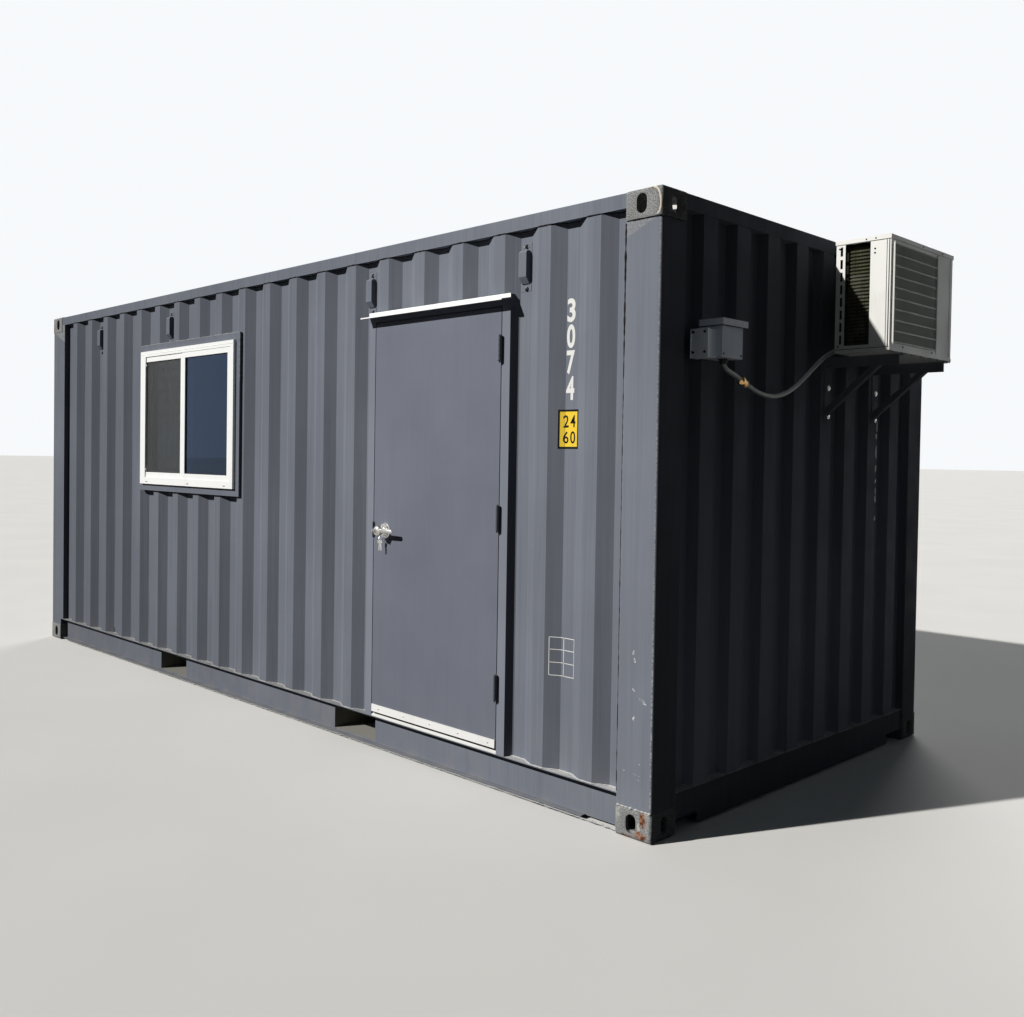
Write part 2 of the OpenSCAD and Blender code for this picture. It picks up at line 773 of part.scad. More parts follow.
module unit_casing() {
    side = [ux0 + 44, ux0 + 164];
    rear = [unit_y0 + 30, unit_y0 + 500];
    holes = 8;
    pitch = 58;
    rim = 12;
    color("gainsboro") {
        difference() {
            box(ux0, ux1, unit_y0, uy1, uz0, uz1);
            box(ux0 + unit_t, ux1 - unit_t, unit_y0 + unit_t, uy1 - unit_t,
                uz0 + unit_t + 1, uz1 - unit_t - 1);
            box(ux1 - 10, ux1 + 1, guard[0] + rim, guard[1] - rim, guard[2] + rim,
                guard[3] - rim);
            box(side[0], side[1], unit_y0 - 1, unit_y0 + 10, coil_z[0], coil_z[1]);
            box(ux0 - 1, ux0 + unit_t + 1, rear[0], rear[1], coil_z[0], coil_z[1]);
            for (i = [0:holes - 1]) box(ux0 + 20, ux0 + 32, unit_y0 - 1, unit_y0 + 10,
                uz0 + 40 + i * pitch, uz0 + 82 + i * pitch);
        }
        for (y = [arm_y1, arm_y2])
            box(ux0 + 20, ux1 - 10, y - 20, y + 20, uz0 - foot_h, uz0 + e);
    }
}

module unit_guard() {
    n = 9;
    bar = 6;
    proud = 10;
    step = (guard[3] - guard[2] - bar) / n;
    color("gray") difference() {
        box(ux1, ux1 + proud, guard[0], guard[1], guard[2], guard[3]);
        for (i = [0:n - 1]) box(ux1 - 1, ux1 + proud + 1, guard[0] + bar,
            guard[1] - bar, guard[2] + bar + i * step, guard[2] + (i + 1) * step);
    }
}

module unit_coil() {
    t = 22;
    in_x = 6;
    in_y = 32;
    color("darkgray") translate([ux0 + in_x, unit_y0 + in_y, uz0 + unit_t + 1])
        linear_extrude(unit_h - 4 * unit_t) union() {
            square([t, 506 - in_y]);
            square([190, t]);
        }
}

module unit_fan() {
    motor = [40, 80];
    hub = [45, 60];
    blades = 3;
    blade = 55;
    strut = 8;
    color("gray") translate([ux1 - 90, fan_y, fan_z]) rotate([0, 90, 0]) {
        cylinder(r = hub[0], h = hub[1]);
        for (i = [0:blades - 1]) rotate(i * 360 / blades + 20) translate([0, 0, 20])
            rotate([28, 0, 0]) box(30, fan_r - 16, -blade, blade, -3, 3);
        translate([0, 0, -motor[1]]) cylinder(r = motor[0], h = motor[1]);
        for (s = [-1, 1]) box(fan_z - uz1 + unit_t + 1, fan_z - uz0 - unit_t - 1,
            s * 36 - 6, s * 36 + 6, -motor[1] - strut, -motor[1]);
    }
}

module unit_brackets() {
    l = ux1 - crest_x;
    t = 5;
    arm = 50;
    drop = 300;
    low = arm - t;
    color("dimgray") for (y = [arm_y1, arm_y2]) translate([crest_x, y, uz0 - foot_h]) {
        box(0, t, -arm / 2, arm / 2, -drop, 0);
        box(0, l, -arm / 2, -arm / 2 + t, -arm, 0);
        box(0, l, -arm / 2, arm / 2, -t, 0);
        translate([0, -arm / 2 + t, 0]) strut(t, drop - 15, 40, l - 85, low);
        translate([0, arm / 2 - 20, 0]) strut(arm - 20, drop - 15, 8, l - 85, low);
    }
}

// Sloping brace w wide and h high from the wall at depth z0 to x = x1 at depth z1
module strut(w, z0, h, x1, z1) {
    rotate([90, 0, 0]) linear_extrude(w)
        polygon([[0, -z0], [0, -z0 + h], [x1 - h, -z1], [x1, -z1]]);
}

db_y = -hy + 271;
db_z = uz0 - 91;
db = [crest_x, crest_x + 110, db_y, db_y + 151, db_z, db_z + 131];

module disconnect_box() {
    lid = 26;
    over = [6, 4, 30];       // lid past the box in front, near and far
    color("gray") {
        box(db[0], db[1], db[2], db[3], db[4], db[5]);
        box(db[0], db[1] + over[0], db[2] - over[1], db[3] + over[2], db[5],
            db[5] + lid);
    }
}

module junction_box() {
    d = 80;
    w = 54;
    cover = 6;
    z = [db[4] - 3, db[5] - 20];
    color("gray") {
        box(db[0], db[0] + d, db[2] - w, db[2], z[0], z[1]);
        box(db[0], db[0] + d + 4, db[2] - w - cover, db[2] - w, z[0] - 2, z[1] + 2);
    }
}

// Route of the flexible conduit from the disconnect box's underside to the rear
// panel of the condenser unit. Each point has its share of the way between the
// two and how far it is from the straight line in x and z.
from_box = [crest_x + 62, db[2] + 86, db[4]];
to_unit = [ux0, unit_y0 + 574, uz0 + 71];
hang = [
    [0, 0, 0], [0, 0, -20], [0.0139, -1, -41], [0.0418, -2, -60],
    [0.0641, -3, -73], [0.1546, -6, -134], [0.2103, -8, -161], [0.273, -11, -176],
    [0.3357, -13, -171], [0.3983, -16, -147], [0.454, -18, -111],
    [0.5153, -21, -68], [0.5724, -22, -28], [0.6281, -22, -3], [0.6908, -23, 13],
    [0.7535, -24, 17], [0.8231, -26, 16], [0.8928, -28, 10], [0.9485, -27, 5],
    [0.9833, -21, 2], [1, -13, 0], [1, 0, 0]];
route = [for (h = hang) (1 - h[0]) * from_box + h[0] * to_unit + [h[1], 0, h[2]]];
cord_r = 10.5;
cord_n = 10;

function unit(v) = v / norm(v);
function tangent(p, i) = unit(p[min(i + 1, len(p) - 1)] - p[max(i - 1, 0)]);

// Round tube swept along the points of p, none of whose runs is parallel to up
module sweep(p, r, n) {
    up = [1, -1, 0];
    rings = [for (i = [0:len(p) - 1])
        let (t = tangent(p, i), u = unit(cross(t, up)), v = cross(t, u))
        for (j = [0:n - 1]) p[i] + r * (cos(360 * j / n) * u + sin(360 * j / n) * v)];
    m = len(p);
    faces = concat(
        [[for (j = [0:n - 1]) j]],
        [for (i = [0:m - 2]) for (j = [0:n - 1])
            [i * n + j, (i + 1) * n + j, (i + 1) * n + (j + 1) % n,
             i * n + (j + 1) % n]],
        [[for (j = [n - 1:-1:0]) (m - 1) * n + j]]);
    polyhedron(rings, faces, convexity = 6);
}

module conduit() { color("dimgray") sweep(route, cord_r, cord_n); }

module conduit_fitting() {
    a = route[4];
    b = route[5];
    color("gold") translate((a + b) / 2) rotate([atan2(b[2] - a[2], b[1] - a[1]), 0, 0])
        rotate([90, 0, 0]) translate([0, 0, -20]) difference() {
            union() {
                cylinder(r = 17, h = 14, $fn = 6);
                cylinder(r = 14, h = 40);
            }
            translate([0, 0, -1]) cylinder(r = cord_r + 0.3, h = 42);
        }
}

corner_castings();
corner_posts();
top_side_rails();
bottom_side_rails();
closed_end_top_rail();
closed_end_sill();
door_end_header();
door_end_sill();
roof_panel();
cross_members();
fork_pockets();
floor_boards();
wall_front_left();
wall_front_over_door();
wall_front_right();
wall_back();
wall_closed_end();
wall_lining();
ceiling();
cargo_door_left();
cargo_door_right();
cargo_door_gaskets();
lock_rods();
lock_rod_keepers();
cargo_door_hinges();
window_surround();
window_frame();
window_sash();
window_glass();
insect_screen();
door_jambs();
door_head();
door_threshold();
door_leaf();
door_sweep();
door_hinges_frame();
door_hinges_leaf();
door_lock();
door_lever();
strike_plate();
drip_cap();
wall_vents();
unit_casing();
unit_guard();
unit_coil();
unit_fan();
unit_brackets();
disconnect_box();
junction_box();
conduit();
conduit_fitting();
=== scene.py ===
"""Looks of the shipping container cabin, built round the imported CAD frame. Metres, +Z up."""

import json
from itertools import product
from math import cos, pi, radians, sin, sqrt

import bmesh
import bpy
from mathutils import noise as rough_noise
from mathutils import Matrix, Vector


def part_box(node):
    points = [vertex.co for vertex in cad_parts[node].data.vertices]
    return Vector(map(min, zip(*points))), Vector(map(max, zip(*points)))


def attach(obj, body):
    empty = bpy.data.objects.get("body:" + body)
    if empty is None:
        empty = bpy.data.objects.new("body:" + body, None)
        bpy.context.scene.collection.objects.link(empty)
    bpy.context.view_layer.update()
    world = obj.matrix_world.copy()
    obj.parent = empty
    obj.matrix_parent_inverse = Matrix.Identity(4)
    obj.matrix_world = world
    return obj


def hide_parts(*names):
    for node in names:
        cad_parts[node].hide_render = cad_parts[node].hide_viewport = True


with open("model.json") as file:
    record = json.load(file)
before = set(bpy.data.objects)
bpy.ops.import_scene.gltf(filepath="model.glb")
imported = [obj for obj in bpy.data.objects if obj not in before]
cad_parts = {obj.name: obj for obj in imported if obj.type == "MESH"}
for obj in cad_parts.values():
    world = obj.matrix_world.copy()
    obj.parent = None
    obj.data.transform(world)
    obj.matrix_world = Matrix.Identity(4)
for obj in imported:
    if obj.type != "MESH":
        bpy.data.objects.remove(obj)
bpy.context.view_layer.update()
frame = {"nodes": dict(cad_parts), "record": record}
NODES = frame["nodes"]


def vec(x, y, z):
    return Vector((x, y, z))


X, Y, Z = vec(1, 0, 0), vec(0, 1, 0), vec(0, 0, 1)


def put_in_scene(name, data):
    made = bpy.data.objects.new(name, data)
    bpy.context.scene.collection.objects.link(made)
    return made


# Camera at the photograph's viewing angle

PHOTO_W, PHOTO_H = 1024, 1017
SENSOR = 36.0
FOCAL_PX = 1017.8
CENTRE_PX = (490.37, 480.03)
CAM_AT = vec(5.4176, -4.4558, 1.5179)
CAM_RIGHT = vec(0.69740, 0.71652, 0.01518)
CAM_DOWN = vec(0.02643, -0.00455, -0.99964)
CAM_VIEW = vec(-0.71620, 0.69755, -0.02211)


def make_camera():
    data = bpy.data.cameras.new("camera")
    data.sensor_width = SENSOR
    data.lens = SENSOR * FOCAL_PX / PHOTO_W
    data.shift_x = (PHOTO_W / 2 - CENTRE_PX[0]) / PHOTO_W
    data.shift_y = (CENTRE_PX[1] - PHOTO_H / 2) / PHOTO_W
    data.clip_end = 1000.0
    cam = put_in_scene("camera", data)
    turn = Matrix((CAM_RIGHT, -CAM_DOWN, -CAM_VIEW)).transposed().to_4x4()
    cam.matrix_world = Matrix.Translation(CAM_AT) @ turn
    bpy.context.scene.camera = cam


make_camera()


# Materials

class Nodes:
    """Short calls that add and join the nodes of one tree."""

    def __init__(self, tree):
        self.tree = tree

    def node(self, kind, inputs=None, **settings):
        """A new node of that kind; inputs gives numbers or sockets by name or index."""
        made = self.tree.nodes.new("ShaderNode" + kind)
        for key, value in settings.items():
            setattr(made, key, value)
        self.feed(made, inputs or {})
        return made

    def feed(self, node, inputs):
        for socket, value in inputs.items():
            if isinstance(value, bpy.types.NodeSocket):
                self.tree.links.new(value, node.inputs[socket])
            else:
                node.inputs[socket].default_value = value

    def math(self, how, a, b=0.0):
        return self.node("Math", {0: a, 1: b}, operation=how).outputs[0]

    def product(self, first, *others):
        for other in others:
            first = self.math("MULTIPLY", first, other)
        return first

    def less(self, value, whole=1.0):
        return self.math("SUBTRACT", whole, value)

    def top(self, a, b):
        return self.math("MAXIMUM", a, b)

    def pale_only(self, other, pale):
        """Shader pale for what the camera sees, also in gloss and through glass, and
        other for the light that falls on the object."""
        rays = self.node("LightPath").outputs
        seen = self.top(self.top(rays["Is Camera Ray"], rays["Is Glossy Ray"]),
                        rays["Is Transmission Ray"])
        return self.node("MixShader", {0: seen, 1: other.outputs[0],
                                       2: pale.outputs[0]}).outputs[0]


class Look(Nodes):
    """One procedural material."""

    def __init__(self, name, colour, rough=0.5, metal=0.0, specular=0.5):
        self.mat = bpy.data.materials.new(name)
        self.mat.use_nodes = True
        super().__init__(self.mat.node_tree)
        self.shader = self.tree.nodes["Principled BSDF"]
        self.feed(self.shader, {"Base Color": (*colour, 1.0), "Roughness": rough,
                                "Metallic": metal, "Specular IOR Level": specular})
        self.place = self.node("TexCoord").outputs["Object"]
        self.bent = None

    def noise(self, scale, stretch=(1, 1, 1), detail=3.0, shift=(0, 0, 0)):
        mapping = self.node("Mapping", {"Vector": self.place, "Scale": stretch,
                                        "Location": shift})
        return self.node("TexNoise", {"Vector": mapping.outputs[0], "Scale": scale,
                                      "Detail": detail}).outputs["Fac"]

    def span(self, value, low, high, to_low=0.0, to_high=1.0):
        """to_low up to low, to_high from high on and a smooth step between them."""
        return self.node("MapRange", {
            "Value": value, "From Min": low, "From Max": high, "To Min": to_low,
            "To Max": to_high}, interpolation_type="SMOOTHSTEP").outputs["Result"]

    def axis(self, which, *steps):
        """One coordinate, or the span of it."""
        out = self.node("SeparateXYZ", {0: self.place}).outputs[which]
        return self.span(out, *steps) if steps else out

    def depth(self, which, face):
        """How far inside the planes at +face and -face along one axis."""
        return self.less(self.math("ABSOLUTE", self.axis(which)), face)

    def spot(self, x, z, rx, rz, turn=0.0):
        """1 in the middle of a ragged ellipse seen from the front, 0 outside it."""
        if not self.bent:
            wave = self.node("TexNoise", {"Vector": self.place, "Scale": 55.0})
            lift = self.node("VectorMath", {0: wave.outputs["Color"], 1: (0.03,) * 3,
                                            2: (-0.015,) * 3}, operation="MULTIPLY_ADD")
            self.bent = self.node("VectorMath", {0: self.place, 1: lift.outputs[0]},
                                  operation="ADD").outputs[0]
        mapping = self.node("Mapping", {"Vector": self.bent, "Location": (x, 0, z),
                                        "Rotation": (0, turn, 0), "Scale": (rx, 1e4, rz)},
                            vector_type="TEXTURE")
        far = self.node("VectorMath", {0: mapping.outputs[0]}, operation="LENGTH")
        return self.span(far.outputs["Value"], 1.0, 0.5)

    def spots(self, rows):
        out = self.spot(*rows[0])
        for row in rows[1:]:
            out = self.top(out, self.spot(*row))
        return out

    def facing(self, which, low=0.55, high=0.9):
        plain = self.node("NewGeometry").outputs["Normal"]
        return self.span(self.node("SeparateXYZ", {0: plain}).outputs[which], low, high)

    def painted_shade(self, much):
        """1, and less by much on what faces +X, away from the light: painted shade."""
        return self.less(self.product(self.facing(0, 0.0, 1.0), much))

    def mix(self, part, a, b):
        a, b = (c if isinstance(c, bpy.types.NodeSocket) else (*c, 1.0) for c in (a, b))
        return self.node("Mix", {0: part, 6: a, 7: b}, data_type="RGBA").outputs[2]

    def finished(self, inputs, *bumps):
        """The material with those inputs and bumps, which are (height, strength, distance
        in metres)."""
        normal = {}
        for height, strength, distance in bumps:
            made = self.node("Bump", {"Height": height, "Strength": strength,
                                      "Distance": distance, **normal})
            normal = {"Normal": made.outputs["Normal"]}
        self.feed(self.shader, {**inputs, **normal})
        return self.mat

    def edges(self, radius, low=0.0, high=0.12):
        """1 along sharp outer edges and 0 on the flat, for wear."""
        bevel = self.node("Bevel", {"Radius": radius}, samples=4)
        plain = self.node("NewGeometry").outputs["Normal"]
        dot = self.node("VectorMath", {0: bevel.outputs[0], 1: plain},
                        operation="DOT_PRODUCT")
        return self.span(self.less(dot.outputs["Value"]), low, high)


RUST = (0.30, 0.105, 0.030)
RUST_DARK = (0.09, 0.035, 0.02)
DUST = (0.30, 0.285, 0.26)
CHALK = (0.70, 0.69, 0.66)
GRIME = (0.30, 0.28, 0.24)
BLACK = (0.0, 0.0, 0.0)


def painted_steel(name, colour, streaks=0.5, dust=0.2, rust=0.0, wear=0.0,
                  shade_gradient=(0.76, 0.93, 1.0), painted_shade=0.42, marks=None):
    """Dull grey paint on steel, with painted shade and sheen: a gradient gives how much of its
    colour is left at the cargo doors, near the ground and high up, and faces turned towards +X,
    away from the key light, are darker by the amount given. It has patches, rain streaks, dust
    on top, and where asked rust, worn edges and marks."""
    look = Look(name, colour, specular=0.015)
    pale = tuple(c * 1.13 + 0.006 for c in colour)
    dark = tuple(c * 0.78 for c in colour)
    tone = look.mix(look.span(look.noise(1.4, detail=5.0), 0.32, 0.72), colour, pale)
    up = look.facing(2)
    steep = look.less(up)
    rain = look.noise(1.0, (26, 26, 1.1), 4.0)
    tone = look.mix(look.product(look.span(rain, 0.5, 0.78, 0.0, streaks), steep), tone, dark)
    thin = look.noise(1.0, (95, 95, 1.6), 3.0)
    tone = look.mix(look.product(look.span(thin, 0.35, 0.65, 0.0, streaks * 0.5), steep),
                    tone, dark)
    grain = look.noise(9.0, detail=8.0, shift=(3, 1, 7))
    dirt = look.product(look.axis(2, 0.45, 0.02), look.span(grain, 0.42, 0.7, 0.0, dust))
    tone = look.mix(dirt, tone, DUST)
    scrape = look.noise(1.0, (5, 5, 150), 2.0)
    tone = look.mix(look.product(look.span(scrape, 0.69, 0.74, 0.0, 0.22), steep), tone, pale)
    if wear:
        worn = look.product(look.edges(0.006), look.span(grain, 0.3, 0.6, 0.2, wear))
        tone = look.mix(worn, tone, tuple(c * 1.9 for c in colour))
    if rust:
        chips = look.span(look.noise(38.0, detail=6.0), 0.70, 0.78, 0.0, rust)
        tone = look.mix(chips, tone, RUST)
    # Painted shade and sheen: darker towards the cargo doors, changing with height, and darker
    # on faces turned towards +X.
    left = look.product(look.axis(0, -3.0, 2.6, shade_gradient[0], 1.0),
                        look.axis(2, 0.2, 2.2, *shade_gradient[1:]), look.painted_shade(painted_shade))
    tone = look.mix(left, BLACK, tone)
    low = look.product(look.axis(2, 0.45, 0.3), look.axis(2, 0.08, 0.12))
    chalky = look.product(low, look.axis(0, 1.4, 2.4, 0.25, 1.0))
    lying = look.mix(chalky, DUST, CHALK)
    much = look.math("ADD", look.span(grain, 0.3, 0.7, 0.15, 0.5), look.product(low, 0.3))
    tone = look.mix(look.product(up, much), tone, lying)
    if marks:
        tone = marks(look, tone)
    satin = look.top(look.span(grain, 0.3, 0.7, 0.42, 0.60), look.product(up, 0.85))
    return look.finished({"Base Color": tone, "Roughness": satin},
                         (look.noise(3.2, detail=2.0), 0.25, 0.012),
                         (look.noise(420.0, detail=2.0), 0.06, 0.001))


SCUFFS = ((2.925, 0.750, 0.007, 0.013, 0.3), (2.934, 0.716, 0.006, 0.010, -0.2),
          (2.928, 0.600, 0.008, 0.007, 0.8), (2.976, 0.562, 0.020, 0.005, 0.5),
          (2.984, 0.552, 0.012, 0.006, 0.4), (2.931, 0.487, 0.007, 0.012, 0.5),
          (2.965, 0.310, 0.004, 0.004, 0.0), (2.885, 0.268, 0.0035, 0.005, 0.0),
          (2.950, 0.262, 0.020, 0.0015, 0.2), (2.955, 0.246, 0.020, 0.0015, 0.15))


def post_marks(look, tone):
    """Pale dust in a wedge under the top castings, a rubbed corner that also paints a highlight
    on the rounded edge, and scuffs low down.
    """
    along, out, high = look.depth(0, 3.013), look.depth(1, 1.219), look.axis(2)
    fine = look.noise(120.0, detail=5.0)
    front = look.span(out, 0.012, 0.004)
    wedge = look.less(look.less(high, 2.473), look.product(along, 0.43))
    dusty = look.product(front, look.span(wedge, -0.003, 0.006),
                         look.span(along, -0.004, 0.002))
    tone = look.mix(look.product(dusty, look.span(fine, 0.40, 0.62, 0.15, 0.85)), tone,
                    (0.32, 0.325, 0.33))
    # The pale strip along the rounded front corner is worn paint and a painted highlight.
    rubbed = look.product(look.span(along, -0.001, -0.005),
                          look.span(look.depth(0, 3.022), 0.0, 0.002),
                          look.span(out, 0.014, 0.006),
                          look.span(high, 1.0, 0.7, 0.6, 1.0))
    tone = look.mix(look.product(rubbed, look.span(fine, 0.42, 0.60, 0.1, 0.9)), tone,
                    (0.46, 0.47, 0.48))
    seen = look.product(look.spots(SCUFFS), front, look.span(fine, 0.40, 0.55))
    return look.mix(seen, tone, (0.62, 0.62, 0.62))


CAST_RUST = ((2.985, 0.090, 0.020, 0.045, -0.15), (2.975, 0.022, 0.040, 0.020, 0.0),
             (2.902, 0.005, 0.030, 0.012, 0.0), (2.990, 2.586, 0.026, 0.010, 0.15))
CAST_WORN = ((2.862, 0.100, 0.014, 0.050, 0.1), (2.968, 0.055, 0.009, 0.030, 0.1),
             (2.905, 0.131, 0.035, 0.007, 0.1), (2.992, 0.117, 0.025, 0.006, 0.2))


def cast_steel(name, base):
    """Heavily used casting: thin speckled paint, with rust on the faces that get rubbed,
    painted shade on the faces turned towards +X, and pale primer in the hollows of the
    upper ones, which also paints in the patch of sunlight inside their slots."""
    look = Look(name, base, specular=0.02)
    grain = look.noise(34.0, detail=9.0)
    fine = look.noise(210.0, detail=7.0)
    patch = look.noise(7.5, detail=5.0, shift=(1.3, 0.2, 2.1))
    high = look.axis(2)
    tone = look.mix(look.span(fine, 0.42, 0.58), base, (0.37, 0.38, 0.385))
    tone = look.mix(look.span(patch, 0.35, 0.65, 0.0, 0.25), tone, (0.135, 0.14, 0.135))
    along, out = look.depth(0, 3.029), look.depth(1, 1.219)
    front = look.span(out, 0.012, 0.004)
    worn = look.edges(0.008, 0.0, 0.25)
    tone = look.mix(look.product(worn, look.span(grain, 0.35, 0.6, 0.1, 0.7)), tone,
                    (0.44, 0.42, 0.38))
    rubbed = look.product(look.spots(CAST_WORN), front, look.span(grain, 0.35, 0.55))
    tone = look.mix(rubbed, tone, (0.42, 0.41, 0.38))
    rim = look.product(look.span(along, 0.034, 0.016), look.span(out, 0.03, 0.01))
    rusty = look.product(look.top(look.span(patch, 0.62, 0.72),
                                  look.product(rim, look.span(patch, 0.48, 0.60))),
                         look.span(grain, 0.4, 0.6, 0.15, 0.85),
                         look.span(out, 0.012, 0.004, 0.25, 1.0))
    clear = look.product(look.span(along, 0.17, 0.15), front, look.axis(0, 2.0, 2.1),
                         look.axis(1, 0.0, -0.1))
    rusty = look.product(rusty, look.less(clear))
    spot = look.product(look.spots(CAST_RUST), front, look.span(grain, 0.35, 0.60, 0.3, 1.0))
    tone = look.mix(look.top(rusty, spot), tone,
                    look.mix(look.span(grain, 0.45, 0.62), RUST, RUST_DARK))
    # Painted shade on the faces turned towards +X.
    tone = look.mix(look.painted_shade(0.4), BLACK, tone)
    # Pale primer in the upper castings' hollows, which also paints in the sunlit patch inside
    # their slots.
    primer_and_sunlit_patch = look.product(look.span(along, 0.012, 0.016), look.span(along, 0.145, 0.135),
                          look.span(out, 0.125, 0.130), look.span(high, 1.2, 1.4),
                          look.span(high, 2.566, 2.560))
    tone = look.mix(primer_and_sunlit_patch, tone, (0.80, 0.79, 0.76))
    return look.finished({"Base Color": tone, "Roughness": look.span(grain, 0.3, 0.7, 0.5, 0.8)},
                         (grain, 0.5, 0.002), (look.noise(160.0, detail=3.0), 0.3, 0.0008))


def plain_coat(name, colour, rough=0.35, specular=0.5, dirt=0.12):
    """Smooth factory coat or vinyl, slightly uneven, with faint grime."""
    look = Look(name, colour, specular=specular)
    patch = look.noise(5.0, detail=6.0)
    rain = look.noise(1.0, (35, 35, 2.0), 3.0)
    marks = look.product(look.span(patch, 0.42, 0.75, 0.0, dirt * 2),
                         look.span(rain, 0.35, 0.7, 0.3, 1.0))
    satin = look.span(patch, 0.3, 0.7, rough - 0.06, rough + 0.08)
    return look.finished({"Base Color": look.mix(marks, colour, GRIME), "Roughness": satin},
                         (look.noise(300.0, detail=2.0), 0.04, 0.0006))


def bare_metal(name, colour, rough=0.3, streak=(6, 6, 220), dull=0.25):
    look = Look(name, colour, metal=1.0)
    lines = look.noise(1.0, streak, 3.0)
    spots = look.noise(45.0, detail=5.0)
    dark = tuple(c * (1 - dull) for c in colour)
    tone = look.mix(look.span(spots, 0.35, 0.7), colour, dark)
    satin = look.span(lines, 0.3, 0.7, rough * 0.8, rough * 1.35)
    return look.finished({"Base Color": tone, "Roughness": satin}, (lines, 0.08, 0.0004))


def rubber(name, colour):
    look = Look(name, colour, rough=0.65, specular=0.03)
    grain = look.noise(60.0, detail=4.0)
    tone = look.mix(look.span(grain, 0.4, 0.7), colour, tuple(c + 0.02 for c in colour))
    return look.finished({"Base Color": tone}, (grain, 0.15, 0.0006))


def board(name, colour, grain_colour):
    look = Look(name, colour, rough=0.6, specular=0.3)
    rings = look.noise(1.0, (3, 60, 60), 6.0)
    tone = look.mix(look.span(rings, 0.35, 0.65), colour, grain_colour)
    return look.finished({"Base Color": tone}, (rings, 0.2, 0.0008))


def pane(name, colour):
    look = Look(name, colour, rough=0.03, metal=0.2)
    smear = look.span(look.noise(3.0, detail=5.0), 0.45, 0.75, 0.01, 0.06)
    return look.finished({"Transmission Weight": 1.0, "IOR": 1.18, "Roughness": smear},
                         (look.noise(1.2, detail=1.0), 0.06, 0.01))


def screen_cloth(name, colour, pitch=0.0016, wire=0.00045):
    """Woven insect screen: thin wires both ways, open between them."""
    look = Look(name, colour, rough=0.6, specular=0.12)
    cells = [look.math("FRACT", look.math("DIVIDE", look.axis(k), pitch)) for k in (0, 2)]
    wires = look.top(*(look.math("LESS_THAN", c, wire / pitch) for c in cells))
    return look.finished({"Alpha": wires})


def finned_coil(name, light, dark):
    """Thin fins on edge, with painted shade between them, and dusty."""
    look = Look(name, light, rough=0.6, specular=0.05)
    fin = look.noise(1.0, (700, 700, 3), 1.0)
    dusty = look.noise(14.0, detail=5.0)
    tone = look.mix(look.span(fin, 0.4, 0.6), dark, light)
    tone = look.mix(look.span(dusty, 0.45, 0.8, 0.0, 0.25), tone, DUST)
    return look.finished({"Base Color": tone}, (fin, 0.5, 0.001))


